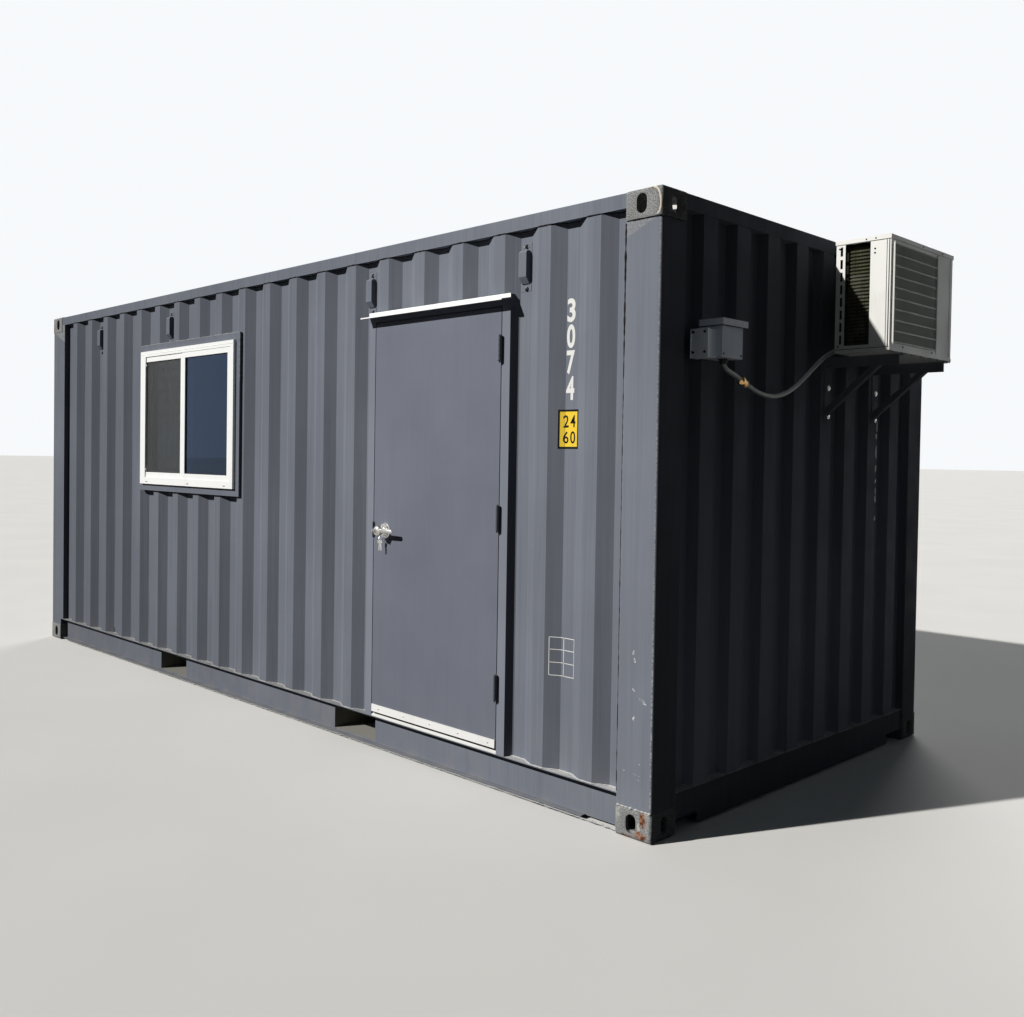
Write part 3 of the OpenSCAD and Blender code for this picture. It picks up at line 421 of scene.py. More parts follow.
STEEL = (0.180, 0.196, 0.235)
MATS = {
    "steel": painted_steel("steel_paint", STEEL, rust=0.25, wear=0.35),
    # End wall: a brighter colour painted darker towards the top, which is painted shade.
    "end_wall": painted_steel("end_wall_paint", tuple(c * 1.45 for c in STEEL), rust=0.25,
                              shade_gradient=(1.0, 1.0, 0.43), painted_shade=0.0),
    "post": painted_steel("post_paint", tuple(c * 1.07 for c in STEEL), rust=0.15,
                          wear=0.35, painted_shade=0.45, marks=post_marks),
    "pocket": painted_steel("pocket_paint", (0.30, 0.30, 0.27), dust=0.5, rust=1.0),
    "steel_cast": cast_steel("casting_paint", (0.160, 0.166, 0.168)),
    "floor": board("floor_ply", (0.33, 0.22, 0.12), (0.22, 0.13, 0.07)),
    "lining": plain_coat("lining_board", (0.72, 0.71, 0.68), 0.55, 0.3),
    "rubber": rubber("door_rubber", (0.02, 0.02, 0.021)),
    "white_frame": plain_coat("window_vinyl", (0.93, 0.94, 0.94), 0.3, dirt=0.04),
    "white_metal": plain_coat("white_trim", (0.86, 0.86, 0.85), 0.38, dirt=0.10),
    "cap": plain_coat("drip_cap_paint", (0.93, 0.93, 0.91), 0.5, 0.2, dirt=0.08),
    "sill": plain_coat("threshold_metal", (0.84, 0.84, 0.82), 0.4, 0.3, dirt=0.15),
    # The pane's blue tint and slight metal also paint in the reflected sky.
    "glass": pane("window_pane", (0.070, 0.150, 0.290)),
    "jamb": painted_steel("jamb_paint", (0.200, 0.216, 0.260), streaks=0.12,
                          shade_gradient=(1.0, 1.0, 1.0), painted_shade=0.6),
    "box_lid": plain_coat("lid_enamel", (0.78, 0.82, 0.90), 0.45, 0.45, dirt=0.1),
    "screen": screen_cloth("screen_mesh", (0.095, 0.100, 0.102)),
    "door": painted_steel("door_paint", (0.168, 0.182, 0.224), streaks=0.12,
                          shade_gradient=(1.0, 0.86, 1.0)),
    "lock": bare_metal("satin_chrome", (0.70, 0.69, 0.66), 0.2),
    "unit": plain_coat("unit_paint", (0.84, 0.84, 0.81), 0.42, dirt=0.12),
    "unit_dark": plain_coat("unit_plastic", (0.035, 0.037, 0.04), 0.5, 0.08),
    "coil": finned_coil("coil_fins", (0.030, 0.030, 0.020), (0.008, 0.008, 0.006)),
    "coil_row": finned_coil("coil_rows", (0.120, 0.124, 0.070), (0.020, 0.020, 0.014)),
    "guard": plain_coat("guard_wire", (0.72, 0.73, 0.69), 0.5, 0.3, dirt=0.1),
    "mesh": plain_coat("guard_mesh", (0.84, 0.86, 0.82), 0.6, 0.25, dirt=0.1),
    "box": plain_coat("box_enamel", (0.50, 0.55, 0.64), 0.45, 0.4, dirt=0.12),
    "cover": plain_coat("cover_enamel", (0.80, 0.84, 0.92), 0.4, 1.0, dirt=0.10),
    "conduit": plain_coat("conduit_jacket", (0.22, 0.225, 0.235), 0.35, 0.4, dirt=0.2),
    "fitting": bare_metal("brass", (0.72, 0.46, 0.20), 0.3),
    "white_paint": plain_coat("number_paint", (0.80, 0.80, 0.78), 0.5, 0.3, dirt=0.2),
    "yellow": plain_coat("yellow_plate", (0.92, 0.64, 0.05), 0.45, 0.2, dirt=0.08),
    "black": plain_coat("black_paint", (0.010, 0.010, 0.012), 0.5, 0.05, dirt=0.05),
    "bead": painted_steel("bead_paint", (0.42, 0.43, 0.44), streaks=0.1, rust=0.6,
                          shade_gradient=(0.55, 1.0, 1.0)),
    "scuff": plain_coat("scuffed_edge_and_highlight", (0.74, 0.69, 0.60), 0.6, 0.2, dirt=0.3),
    "scuff_brown": plain_coat("scuffed_rust", (0.16, 0.075, 0.035), 0.7, 0.1, dirt=0.1),
    "zinc": bare_metal("zinc_plate", (0.55, 0.55, 0.54), 0.42, (30, 30, 30), 0.35),
}
OWN_LOOK = {"corner_posts": "post", "fork_pockets": "pocket", "unit_guard": "guard",
            "wall_closed_end": "end_wall", "door_threshold": "sill",
            "junction_box": "cover", "door_jambs": "jamb", "drip_cap": "cap"}


def dress_nodes():
    for part in frame["record"]["subparts"]:
        node = part["node"]
        NODES[node].data.materials.clear()
        NODES[node].data.materials.append(MATS[OWN_LOOK.get(node, part["material_slot"])])


dress_nodes()


# Sizes repeated from the part's source, in metres

CREST_X, CREST_Y = 3.023, 1.214
POST_X, LIP_X, POST_Y = 2.851, -2.805, 1.057
WELD_X0 = LIP_X + 0.034
RAIL_TOP, TUBE_Z0 = 0.170, 2.525
JAMB_L, HEAD_Z1, JAMB_R = 1.180, 2.252, 2.206
FACE_Y, LEAF_T = -1.218, 0.044
LEAF_X0, LEAF_X1, LEAF_Z0 = 1.236, 2.150, 0.194
LEVER = vec(1.332, FACE_Y, 1.138)
WIN_X, WIN_Z, WIN_W, WIN_H = -0.759, 1.757, 1.248, 0.912
WIN_Y = -CREST_Y - 0.036
UNIT = ((3.125, 0.0, 2.026), (3.385, 0.682, 2.544))
ARMS = (0.128, 0.628)
BOX = ((3.023, -0.948, 1.935), (3.133, -0.797, 2.066))
SIDE_PITCH, SIDE_PHASE = 0.278, 0.179
VENTS_X = [SIDE_PHASE + SIDE_PITCH * (k + 0.5) for k in (-9, -5, 3, 7)]
VENTS_Z = 2.362


def rib(u, pitch, phase, flat, slope, depth):
    """Depth of a corrugated sheet below its outer flats at u along it."""
    off = abs((u - phase) - pitch * round((u - phase) / pitch))
    return depth * min(1.0, max(0.0, (off - flat / 2) / slope))


def side_y(x):
    """Y of the front wall's outer skin at x; the back wall's is its mirror image."""
    return -CREST_Y + rib(x, SIDE_PITCH, SIDE_PHASE, 0.072, 0.068, 0.036)


def end_x(y):
    return CREST_X - rib(y, 0.250, 0.125, 0.104, 0.018, 0.045)


def line(a, b, count):
    """count + 1 points evenly from a to b."""
    return [tuple(p + (q - p) * i / count for p, q in zip(a, b)) for i in range(count + 1)]


def ring(at, side, over, radius, count):
    return [at + radius * (cos(a) * side + sin(a) * over)
            for a in (2 * pi * i / count for i in range(count))]


def smooth_path(points, step):
    """Points every step or so along a curve through the given ones."""
    points = [Vector(q) for q in points]
    ends = [points[0] * 2 - points[1]] + points + [points[-1] * 2 - points[-2]]
    out = []
    for i in range(1, len(ends) - 2):
        a, b, c, d = ends[i - 1:i + 3]
        n = max(2, round((c - b).length / step))
        for t in (k / n for k in range(n)):
            out.append(0.5 * (2 * b + (c - a) * t + (2 * a - 5 * b + 4 * c - d) * t * t
                              + (3 * b - 3 * c + d - a) * t ** 3))
    return out + points[-1:]


def lumpy(path, radius, rough, scale=60.0):
    """A radius for each point of the path, which swells and shrinks along it."""
    return [radius * (1 + rough * rough_noise.noise(Vector(q) * scale)) for q in path]


def smooth_piece(name, mesh, looks, angle):
    """The mesh as a piece in the scene, smooth but for edges sharper than angle."""
    for look in looks:
        mesh.materials.append(MATS[look])
    mesh.shade_smooth()
    mesh.set_sharp_from_angle(angle=radians(angle))
    return put_in_scene(name, mesh)


class Shape:
    """One piece put together from many small closed forms."""

    def __init__(self):
        self.points, self.faces, self.kinds = [], [], []

    def add(self, points, faces, kind=0):
        start = len(self.points)
        self.points += [tuple(q) for q in points]
        self.faces += [[start + i for i in f] for f in faces]
        self.kinds += [kind] * len(faces)

    def box(self, lo, hi, cut=0.0, turn=None):
        """Box with chamfered edges, turned about its middle by the matrix turn."""
        lo, hi = Vector(lo), Vector(hi)
        mid, half = (lo + hi) / 2, (hi - lo) / 2
        cut = max(1e-5, min(cut, min(abs(h) for h in half) * 0.9))
        corners, points, at = list(product((-1, 1), repeat=3)), [], {}
        for signs, axis in product(corners, range(3)):
            q = Vector([s * (h if k == axis else h - cut)
                        for k, (s, h) in enumerate(zip(signs, half))])
            at[(*signs, axis)] = len(points)
            points.append(mid + (turn @ q if turn else q))

        def point(axis, side, u, v, which):
            """Point of the corner on that side of the axis, u and v on the other two."""
            signs = [u, v]
            signs.insert(axis, side)
            return at[(*signs, which)]

        faces = [[point(axis, side, u, v, axis) for u, v in
                  ((-1, -1), (1, -1), (1, 1), (-1, 1))]
                 for axis in range(3) for side in (-1, 1)]
        for axis in range(3):
            a, b = [k for k in range(3) if k != axis]
            faces += [[point(axis, side, u, v, which) for side, which in
                       ((-1, a), (-1, b), (1, b), (1, a))]
                      for u, v in product((-1, 1), repeat=2)]
        faces += [[at[(*signs, k)] for k in range(3)] for signs in corners]
        self.add(points, faces)

    def boxes(self, cut, *pairs):
        for lo, hi in pairs:
            self.box(lo, hi, cut)

    def skin(self, rings, kind=0):
        """Closed skin over rings of equally many points, with a face on each end."""
        n = len(rings[0])
        last = (len(rings) - 1) * n
        faces = [list(range(n))[::-1], [last + j for j in range(n)]]
        for i, j in product(range(0, last, n), range(n)):
            k = (j + 1) % n
            faces.append([i + j, i + k, i + n + k, i + n + j])
        self.add([q for row in rings for q in row], faces, kind)

    def tube(self, path, radius, sides=8, up=(0.3, 0.2, 1.0)):
        """Round closed tube along a path; radius is a number or one for each point."""
        path = [Vector(q) for q in path]
        radii = radius if isinstance(radius, list) else [radius] * len(path)
        rings, side = [], None
        for i, q in enumerate(path):
            along = (path[min(i + 1, len(path) - 1)] - path[max(i - 1, 0)]).normalized()
            if side is None:
                side = along.cross(Vector(up))
            side = (side - along * side.dot(along)).normalized()
            rings.append(ring(q, side, along.cross(side), radii[i], sides))
        self.skin(rings)

    def turned(self, at, axis, profile, sides=20, kind=0):
        """Turned form: profile is (radius, height along axis) from one end to the other."""
        at, axis = Vector(at), Vector(axis).normalized()
        side = axis.orthogonal().normalized()
        self.skin([ring(at + axis * h, side, axis.cross(side), r, sides)
                   for r, h in profile], kind)

    def screw(self, at, axis, r):
        """Pan head with a recess."""
        h = r * 0.55
        self.turned(at, axis, [(r, -0.001), (r, h * 0.4), (r * 0.8, h * 0.85),
                               (r * 0.5, h), (r * 0.42, h * 0.55)], 12)

    def plate(self, wall, u0, u1, v0, v1, lift, step):
        """Thin plate lying on a wall, where wall(u, v, lift) gives a point."""
        cols = max(1, round((u1 - u0) / step))
        self.skin([[wall(u, v, w) for w, v in ((lift, v0), (lift, v1), (0.0, v1), (0.0, v0))]
                   for u in (u0 + (u1 - u0) * i / cols for i in range(cols + 1))])

    def made(self, name, looks, slot=None, body="cabin", angle=38.0):
        """The piece; slot is not used."""
        looks = [looks] if isinstance(looks, str) else looks
        slot = slot or looks[0]
        mesh = bpy.data.meshes.new(name)
        mesh.from_pydata(self.points, [], self.faces)
        mesh.polygons.foreach_set("material_index", self.kinds)
        work = bmesh.new()
        work.from_mesh(mesh)
        bmesh.ops.recalc_face_normals(work, faces=work.faces)
        work.to_mesh(mesh)
        work.free()
        piece = smooth_piece(name, mesh, looks, angle)
        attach(piece, body)
        return piece


# Conduit, the one cord

ROUTE = ((3.0850, -0.862, 1.9350), (3.0850, -0.862, 1.9150), (3.0846, -0.842, 1.8963),
         (3.0847, -0.802, 1.8818), (3.0846, -0.770, 1.8724), (3.0852, -0.640, 1.8260),
         (3.0854, -0.560, 1.8081), (3.0849, -0.470, 1.8032), (3.0854, -0.380, 1.8184),
         (3.0849, -0.290, 1.8525), (3.0852, -0.210, 1.8975), (3.0846, -0.122, 1.9505),
         (3.0859, -0.040, 1.9997), (3.0881, 0.040, 2.0338), (3.0896, 0.130, 2.0599),
         (3.0911, 0.220, 2.0741), (3.0919, 0.320, 2.0843), (3.0927, 0.420, 2.0896),
         (3.0959, 0.500, 2.0937), (3.1033, 0.550, 2.0963), (3.1120, 0.574, 2.0970),
         (3.1250, 0.574, 2.0970))
CORD_R = 0.0105


def make_conduit():
    path = smooth_path(ROUTE, 0.006)
    cord = Shape()
    cord.tube(path, CORD_R, 16, up=(1, -1, 0))
    cord = cord.made("conduit_jacket", "conduit")
    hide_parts("conduit")
    a, b = Vector(ROUTE[4]), Vector(ROUTE[5])
    mid, along = (a + b) / 2, (b - a).normalized()
    nut = Shape()
    nut.turned(mid, along, [(0.0105, -0.022), (0.0165, -0.021), (0.0175, -0.019),
                            (0.0175, -0.008), (0.0165, -0.006), (0.0135, -0.005),
                            (0.0130, 0.014), (0.0142, 0.015), (0.0142, 0.019),
                            (0.0120, 0.021), (0.0105, 0.021)], 24)
    nut.tube([mid + along * t for t in (-0.0235, -0.0215)], 0.0205, 6)
    for t in (0.001 + i * 0.0025 for i in range(5)):
        nut.turned(mid, along, [(0.0128, t), (0.0138, t + 0.0006), (0.0128, t + 0.0012)])
    low = mid - along * 0.030 + vec(0.004, 0.0, -0.010)
    nut.turned(low, (0.55, -0.75, -0.3), [(0.0085, -0.012), (0.0095, -0.010),
                                          (0.0095, 0.006), (0.007, 0.008)], 8)
    # A ring of pale studs on the coupling: a painted highlight.
    side = along.orthogonal().normalized()
    for q in ring(mid + along * 0.0125, side, along.cross(side), 0.0145, 18):
        nut.turned(q, along, [(0.0016, 0.0), (0.0016, 0.008)], 6, kind=1)
    nut = nut.made("conduit_coupling", ("fitting", "scuff"))
    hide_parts("conduit_fitting")
    gland = Shape()
    gland.turned(ROUTE[0], -Z, [(0.021, -0.002), (0.021, 0.004), (0.019, 0.005)], 6)
    gland.turned(ROUTE[0], -Z, [(0.017, 0.003), (0.017, 0.012), (0.0125, 0.020),
                                (0.0118, 0.021)])
    gland.turned(ROUTE[-1], -X, [(0.020, -0.002), (0.020, 0.005), (0.017, 0.006),
                                 (0.0165, 0.014), (0.0120, 0.020)])
    gland = gland.made("conduit_glands", "unit_dark")


make_conduit()


# Welds and seams

def make_welds():
    beads = Shape()

    def run(points, radius=0.0036, rough=0.55):
        beads.tube(points, lumpy(points, radius, rough, 75.0), 6)

    def along(x0, x1, z, mirror):
        n = int((x1 - x0) / 0.006)
        return [(x, mirror * (side_y(x) - 0.0012), z)
                for x in (x0 + (x1 - x0) * i / n for i in range(n + 1))]

    foot = RAIL_TOP + 0.0015
    for x0, x1, mirror in ((WELD_X0, JAMB_L, 1), (JAMB_R, POST_X, 1), (WELD_X0, POST_X, -1)):
        run(along(x0, x1, foot, mirror))
    run([(end_x(y) + 0.0012, y, foot) for _, y, _ in line((0, -POST_Y, 0), (0, POST_Y, 0), 420)])
    for mirror in (-1, 1):
        y, z = mirror * 1.2165, 0.1215
        run(line((POST_X + 0.004, y, z), (POST_X + 0.174, y, z), 60), 0.0034, 1.7)
        y, z = mirror * 1.215, 0.0155
        run(line((WELD_X0, y, z), (2.8335, y, z), 1019), 0.0022, 1.5)
    (sx0, sy0, _), (sx1, _, sz1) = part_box("window_surround")
    y = sy0 + 0.002
    run(line((sx0 + 0.004, y, sz1), (sx1 - 0.004, y, sz1), 240), 0.0024, 1.4)
    run(line((sx1, y, sz1 - 0.004), (sx1, y, sz1 - 0.299), 59), 0.0020, 1.5)
    beads.made("weld_beads", "bead", "steel", angle=70.0)

    dark, seams = Shape(), Shape()
    for mirror in (-1, 1):
        y, z = mirror * 1.2175, 2.4715
        # Black lines under the top side rails and the top castings: dark joints that also paint
        # the shadow under them.
        for joint, radius, rough in (
                (along(WELD_X0, POST_X, TUBE_Z0 - 0.001, mirror), 0.0030, 0.4),
                (line((POST_X + 0.004, y, z), (POST_X + 0.172, y, z), 40), 0.0030, 0.7),
                (line((3.0275, mirror * 1.212, z), (3.0275, mirror * 1.062, z), 40),
                 0.0024, 0.7)):
            dark.tube(joint, lumpy(joint, radius, rough), 6)
        x, y, z = POST_X - 0.0012, mirror * 1.2155, RAIL_TOP
        post = line((x, y, z + 0.004), (x, y, z + 2.292), 286)
        seams.tube(post, [(0.0020 + 0.0026 * min(1.0, max(0.0, (q[2] - 1.8) / 0.4)))
                          * (1 + 0.8 * rough_noise.noise(Vector(q) * 38)) for q in post], 6)
        far = [(LIP_X + 0.001, mirror * 1.1775, z) for _, _, z in post]
        seams.tube(far, lumpy(far, 0.0032, 0.5, 30.0), 5)
    plug = -1.940
    for mirror in (-1, 1):
        edge = ring(vec(plug, mirror * (side_y(plug) - 0.001), 0.195), X, Z, 0.013, 24)
        seams.tube(edge + edge[:1], 0.0026, 6, up=Y)
    dark.made("joint_shadow_lines", "rubber", angle=70.0)
    seams.made("post_seams", "rubber", angle=70.0)


make_welds()


def make_castings():
    """The castings with worn, rounded edges."""
    work = bmesh.new()
    work.from_mesh(NODES["corner_castings"].data)
    bmesh.ops.remove_doubles(work, verts=work.verts, dist=1e-5)
    bmesh.ops.dissolve_limit(work, angle_limit=radians(2), verts=work.verts,
                             edges=work.edges)
    sharp = [e for e in work.edges if len(e.link_faces) == 2
             and e.calc_face_angle(0.0) > radians(35)]
    bmesh.ops.bevel(work, geom=sharp, offset=0.003, segments=2, profile=0.5, affect="EDGES",
                    clamp_overlap=True)
    mesh = bpy.data.meshes.new("worn_castings")
    work.to_mesh(mesh)
    work.free()
    piece = smooth_piece("worn_castings", mesh, ["steel_cast"], 40)
    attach(piece, "cabin")
    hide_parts("corner_castings")


make_castings()


def make_scuffs():
    """Paint rubbed through on the front corner casting, with its brown rim; the pale band round
    the rounded corner is also a painted highlight.
    """
    middle = smooth_path([(x, -1.2142, z) for x, z in (
        (2.983, 2.586), (2.995, 2.582), (3.007, 2.573), (3.015, 2.555), (3.019, 2.532),
        (3.0185, 2.505), (3.0145, 2.488), (3.004, 2.479))], 0.003)
    for name, look, shift, r in (
            ("casting_rub", "scuff", vec(0, 0, 0), 0.0066),
            ("casting_rub_rim", "scuff_brown", vec(-0.0068, 0.0006, -0.00408), 0.0058)):
        rub = Shape()
        path = [q + shift for q in middle]
        rub.tube(path, [r * (0.75 + 0.25 * sin(pi * (0.1 + 0.8 * i / len(path))))
                        * (1 + 0.16 * rough_noise.noise(q * 110)) for i, q in enumerate(path)],
                 12, up=Y)
        rub.made(name, look, "steel_cast", angle=60.0)


make_scuffs()


def make_window():
    x0, x1 = WIN_X - WIN_W / 2, WIN_X + WIN_W / 2
    z0, z1 = WIN_Z - WIN_H / 2, WIN_Z + WIN_H / 2
    inner0, inner1 = z0 + 0.046, z1 - 0.038
    seal = Shape()
    for a, b, y in ((x0 + 0.073, WIN_X - 0.056, WIN_Y + 0.012),
                    (WIN_X + 0.010, x1 - 0.073, WIN_Y + 0.008)):
        lo, hi, t = inner0 + 0.035, inner1 - 0.035, 0.0045
        seal.boxes(0.0008, ((a, y, lo), (a + t, y + 0.006, hi)),
                   ((b - t, y, lo), (b, y + 0.006, hi)),
                   ((a, y, lo), (b, y + 0.006, lo + t)), ((a, y, hi - t), (b, y + 0.006, hi)))
    edge, back, front = 0.0025, -CREST_Y - 0.010, -CREST_Y - 0.0185
    seal.boxes(0.0, ((x0 - edge, front, z0 - edge), (x0, back, z1 + edge)),
               ((x1, front, z0 - edge), (x1 + edge, back, z1 + edge)),
               ((x0, front, z1), (x1, back, z1 + edge)),
               ((x0, front, z0 - edge), (x1, back, z0)))
    for x in (x0 + 0.10, x1 - 0.10, WIN_X + 0.06):
        seal.box((x - 0.014, WIN_Y - 0.0004, z0 + 0.012),
                 (x + 0.014, WIN_Y + 0.004, z0 + 0.018), 0.001)
    seal.made("window_gaskets", "rubber")

    trim = Shape()
    trim.box((x0 + 0.004, WIN_Y - 0.0012, z1 - 0.022),
             (x1 - 0.004, WIN_Y + 0.001, z1 - 0.018), 0.0006)
    trim.box((x0 + 0.034, WIN_Y - 0.0006, inner0 - 0.004),
             (x0 + 0.0735, WIN_Y + 0.006, inner1 + 0.006), 0.001)
    for z in (inner0 + 0.055, inner1 - 0.055):
        for x, low in ((0.0725, 0.003), (0.088, 0.012)):
            trim.box((x0 + x, WIN_Y + 0.001, z - low),
                     (x0 + 0.092, WIN_Y + 0.005, z + 0.003), 0.001)
    trim.made("window_trim", "white_frame")


make_window()


def make_lock():
    """The person door's lock, and the lever with its keys."""
    out = -Y
    grip = Shape()
    for axis, at, name in ((out, LEVER, "lock_rose_outside"),
                           (-out, LEVER + LEAF_T * Y, "lock_rose_inside")):
        rose = Shape()
        rose.turned(at, axis, [(0.0405, -0.0005), (0.0405, 0.003), (0.039, 0.006),
                               (0.035, 0.009), (0.026, 0.0115), (0.0225, 0.012),
                               (0.0222, 0.010), (0.019, 0.010)], 48)
        rose.made(name, "lock", body="door")
        grip.turned(at, axis, [(0.015, 0.009), (0.015, 0.028), (0.018, 0.032), (0.024, 0.036),
                               (0.0265, 0.044), (0.0265, 0.055), (0.024, 0.061),
                               (0.018, 0.065), (0.0095, 0.0668), (0.009, 0.0655)], 40)
        arm = []
        for t in (i / 24 for i in range(25)):
            mid = at + axis * (0.050 + 0.004 * sin(3.1 * t)) \
                + vec(0.010 + 0.106 * t, 0, 0.003 * sin(3.0 * t))
            end = max(0.05, sqrt(max(0.0, 1 - max(0.0, (t - 0.9) / 0.1) ** 2)))
            arm.append(ring(mid, axis * 0.0062, Z * (0.0128 - 0.0020 * t), end, 20))
        grip.skin(arm)
    grip.turned(LEVER + 0.001 * Y, Y, [(0.007, 0), (0.007, 0.042)], 16)
    grip = grip.made("lever_grips", "lock", body="lever", angle=60.0)
    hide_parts("door_lever")

    keys = Shape()
    face = LEVER + out * 0.0655
    keys.turned(face, out, [(0.0088, 0), (0.0088, 0.0020), (0.0075, 0.0026)], 24)
    keys.box(face + vec(-0.0012, -0.006, -0.004), face + vec(0.0012, -0.002, 0.004))
    keys.turned(face + vec(-0.0011, -0.0135, -0.001), X, [(0.0115, 0), (0.0115, 0.0022)], 24)
    keys.made("lock_key", "lock", body="lever")

    keys = Shape()
    for middle, r, lean in ((vec(-0.002, -0.0225, -0.006), 0.0215, -0.25),
                            (vec(-0.006, -0.0270, -0.0365), 0.0115, 1.1)):
        loop = ring(LEVER + middle, X, Z + 0.5 * sin(lean) * Y, r, 32)
        keys.tube(loop + loop[:1], 0.0014, 6, up=(0.1, 1, 0))
    for lean, x, y in ((0.06, -0.0105, 0.0305), (-0.16, -0.0070, 0.0265)):
        turn = Matrix.Rotation(lean, 3, "Y") @ Matrix.Rotation(0.5 + lean, 3, "Z")
        top = LEVER + vec(x, -y, -0.0570)
        keys.turned(top, turn @ Y, [(0.0108, -0.001), (0.0108, 0.001)])
        blade = [(vec(0, 0, -0.026), vec(0.0030, 0.001, 0.019), 0.0004)]
        for i in range(5):
            blade.append((vec(0.0034, 0, -0.018 - 0.005 * i), vec(0.0012, 0.001, 0.0012),
                          0.0003))
        for mid, half, cut in blade:
            mid = top + turn @ mid
            keys.box(mid - half, mid + half, cut, turn)
    keys.made("key_ring", "lock", body="door")

    for body, a, b in (("cabin", -0.0105, -0.0055), ("door", 0.0005, 0.0100)):
        marks = Shape()
        x0, x1 = LEAF_X0 + a, LEAF_X0 + b
        for lo, hi in ((1.096, 1.124), (1.141, 1.174)):
            marks.box((x0, FACE_Y - 0.0016, lo), (x1, FACE_Y + 0.002, hi), 0.0006)
            marks.box((x0, FACE_Y - 0.0013, hi - 0.002),
                      (LEAF_X0 + (a + b) / 2, FACE_Y + 0.002, hi + 0.005), 0.0005)
        marks.made(body + "_latch_lips", "black", "door", body)


make_lock()


def make_unit():
    """What shows on the condenser unit's casing, guard and coil."""
    (x0, y0, z0), (x1, y1, z1) = UNIT
    coat = Shape()
    lid = 0.004
    for xa, ya, xb, yb in ((x0 - lid, y0 - lid, x1 + lid, y0),
                           (x1, y0 - lid, x1 + lid, y1 + lid),
                           (x0 - lid, y1, x1 + lid, y1 + lid), (x0 - lid, y0, x0, y1)):
        coat.box((xa, ya, z1 - 0.020), (xb, yb, z1 + 0.001), 0.0015)
    coat.boxes(0.001, ((x0, y0 - 0.003, z0 - 0.001), (x1 + 0.003, y0, z0 + 0.014)),
               ((x1, y0, z0 - 0.001), (x1 + 0.003, y1, z0 + 0.014)),
               ((x1 - 0.016, y0 - 0.002, z0 + 0.016), (x1 - 0.009, y0 + 0.001, z1 - 0.022)))
    for y in (y0 + 0.505, y0 + 0.655):
        coat.box((x1 - 0.001, y - 0.003, z0 + 0.02), (x1 + 0.0022, y + 0.003, z1 - 0.024), 0.001)
    coat.made("unit_lid_and_ribs", "unit")

    joints = Shape()
    for x in (x1 - 0.019, x1 - 0.007):
        joints.box((x - 0.0012, y0 - 0.0012, z0 + 0.016), (x + 0.0012, y0 + 0.001, z1 - 0.022),
                   0.0003)
    joints.box((x0 + 0.002, y0 - 0.0035, z0 + 0.0145), (x1 - 0.002, y0 + 0.001, z0 + 0.0165),
               0.0003)
    for y in (y0 + 0.03 + k * 0.1 for k in range(7)):
        joints.box((x1 - 0.002, y, z0 - 0.0075), (x1 + 0.0015, y + 0.05, z0 - 0.0005), 0.001)
    joints.made("unit_joints", "unit_dark")

    gy0, gy1, gz0, gz1 = y0 + 0.012, y0 + 0.480, z0 + 0.036, z1 - 0.037
    mesh = Shape()
    x, (lo, hi) = x1 + 0.0025, (gz0 + 0.003, gz1 - 0.003)
    for _, y, _ in line((x, gy0 + 0.004, lo), (x, gy1 - 0.004, lo), 96)[1:-1]:
        mesh.tube([(x, y, lo), (x, y, hi)], 0.0012, 6)
    x = x1 + 0.0010
    for _, _, z in line((x, gy0, lo), (x, gy0, hi), 44)[1:-1]:
        mesh.tube([(x, gy0 + 0.003, z), (x, gy1 - 0.003, z)], 0.0011, 6)
    mesh.made("unit_guard_mesh", "mesh", "unit_dark")
    rails = Shape()
    for y in (gy0 + 0.003, gy1 - 0.003):
        rails.tube(smooth_path(((x1 + 0.001, y, gz0 + 0.012), (x1 + 0.009, y, gz0 + 0.004),
                                (x1 + 0.011, y, gz0 + 0.03), (x1 + 0.011, y, gz1 - 0.03),
                                (x1 + 0.009, y, gz1 - 0.004), (x1 + 0.001, y, gz1 - 0.012)),
                               0.01), 0.0032, up=(0, 1, 0.1))
    rails.made("unit_guard_rails", "guard", "unit_dark")

    rows = Shape()
    for z in (z0 + 0.038 + 0.0162 * k for k in range(28)):
        rows.box((x0 + 0.046, y0 + 0.026, z), (x0 + 0.163, y0 + 0.0325, z + 0.0100), 0.003)
        rows.box((x0 + 0.0030, y0 + 0.034, z), (x0 + 0.0065, y0 + 0.496, z + 0.010), 0.0012)
    rows.made("unit_coil_rows", "coil_row", "coil")

    screws = Shape()
    for x, z in ((0.016, 0.030), (0.016, 0.480), (0.185, 0.462), (0.185, 0.443), (0.245, 0.015),
                 (0.10, 0.009), (0.19, 0.009)):
        screws.screw((x0 + x, y0 - 0.0005, z0 + z), -Y, 0.0042)
    for x in (0.145, 0.190):
        screws.screw((x0 + x, y0 - 0.0042, z1 - 0.010), -Y, 0.0036)
    for y in (0.14, 0.46):
        screws.screw((x1 + 0.0005, y0 + y, z0 + 0.024), X, 0.0042)
    for y in (0.33, 0.55):
        screws.screw((x1 + 0.0042, y0 + y, z1 - 0.010), X, 0.0036)
    screws.made("unit_screws", "unit_dark")


make_unit()


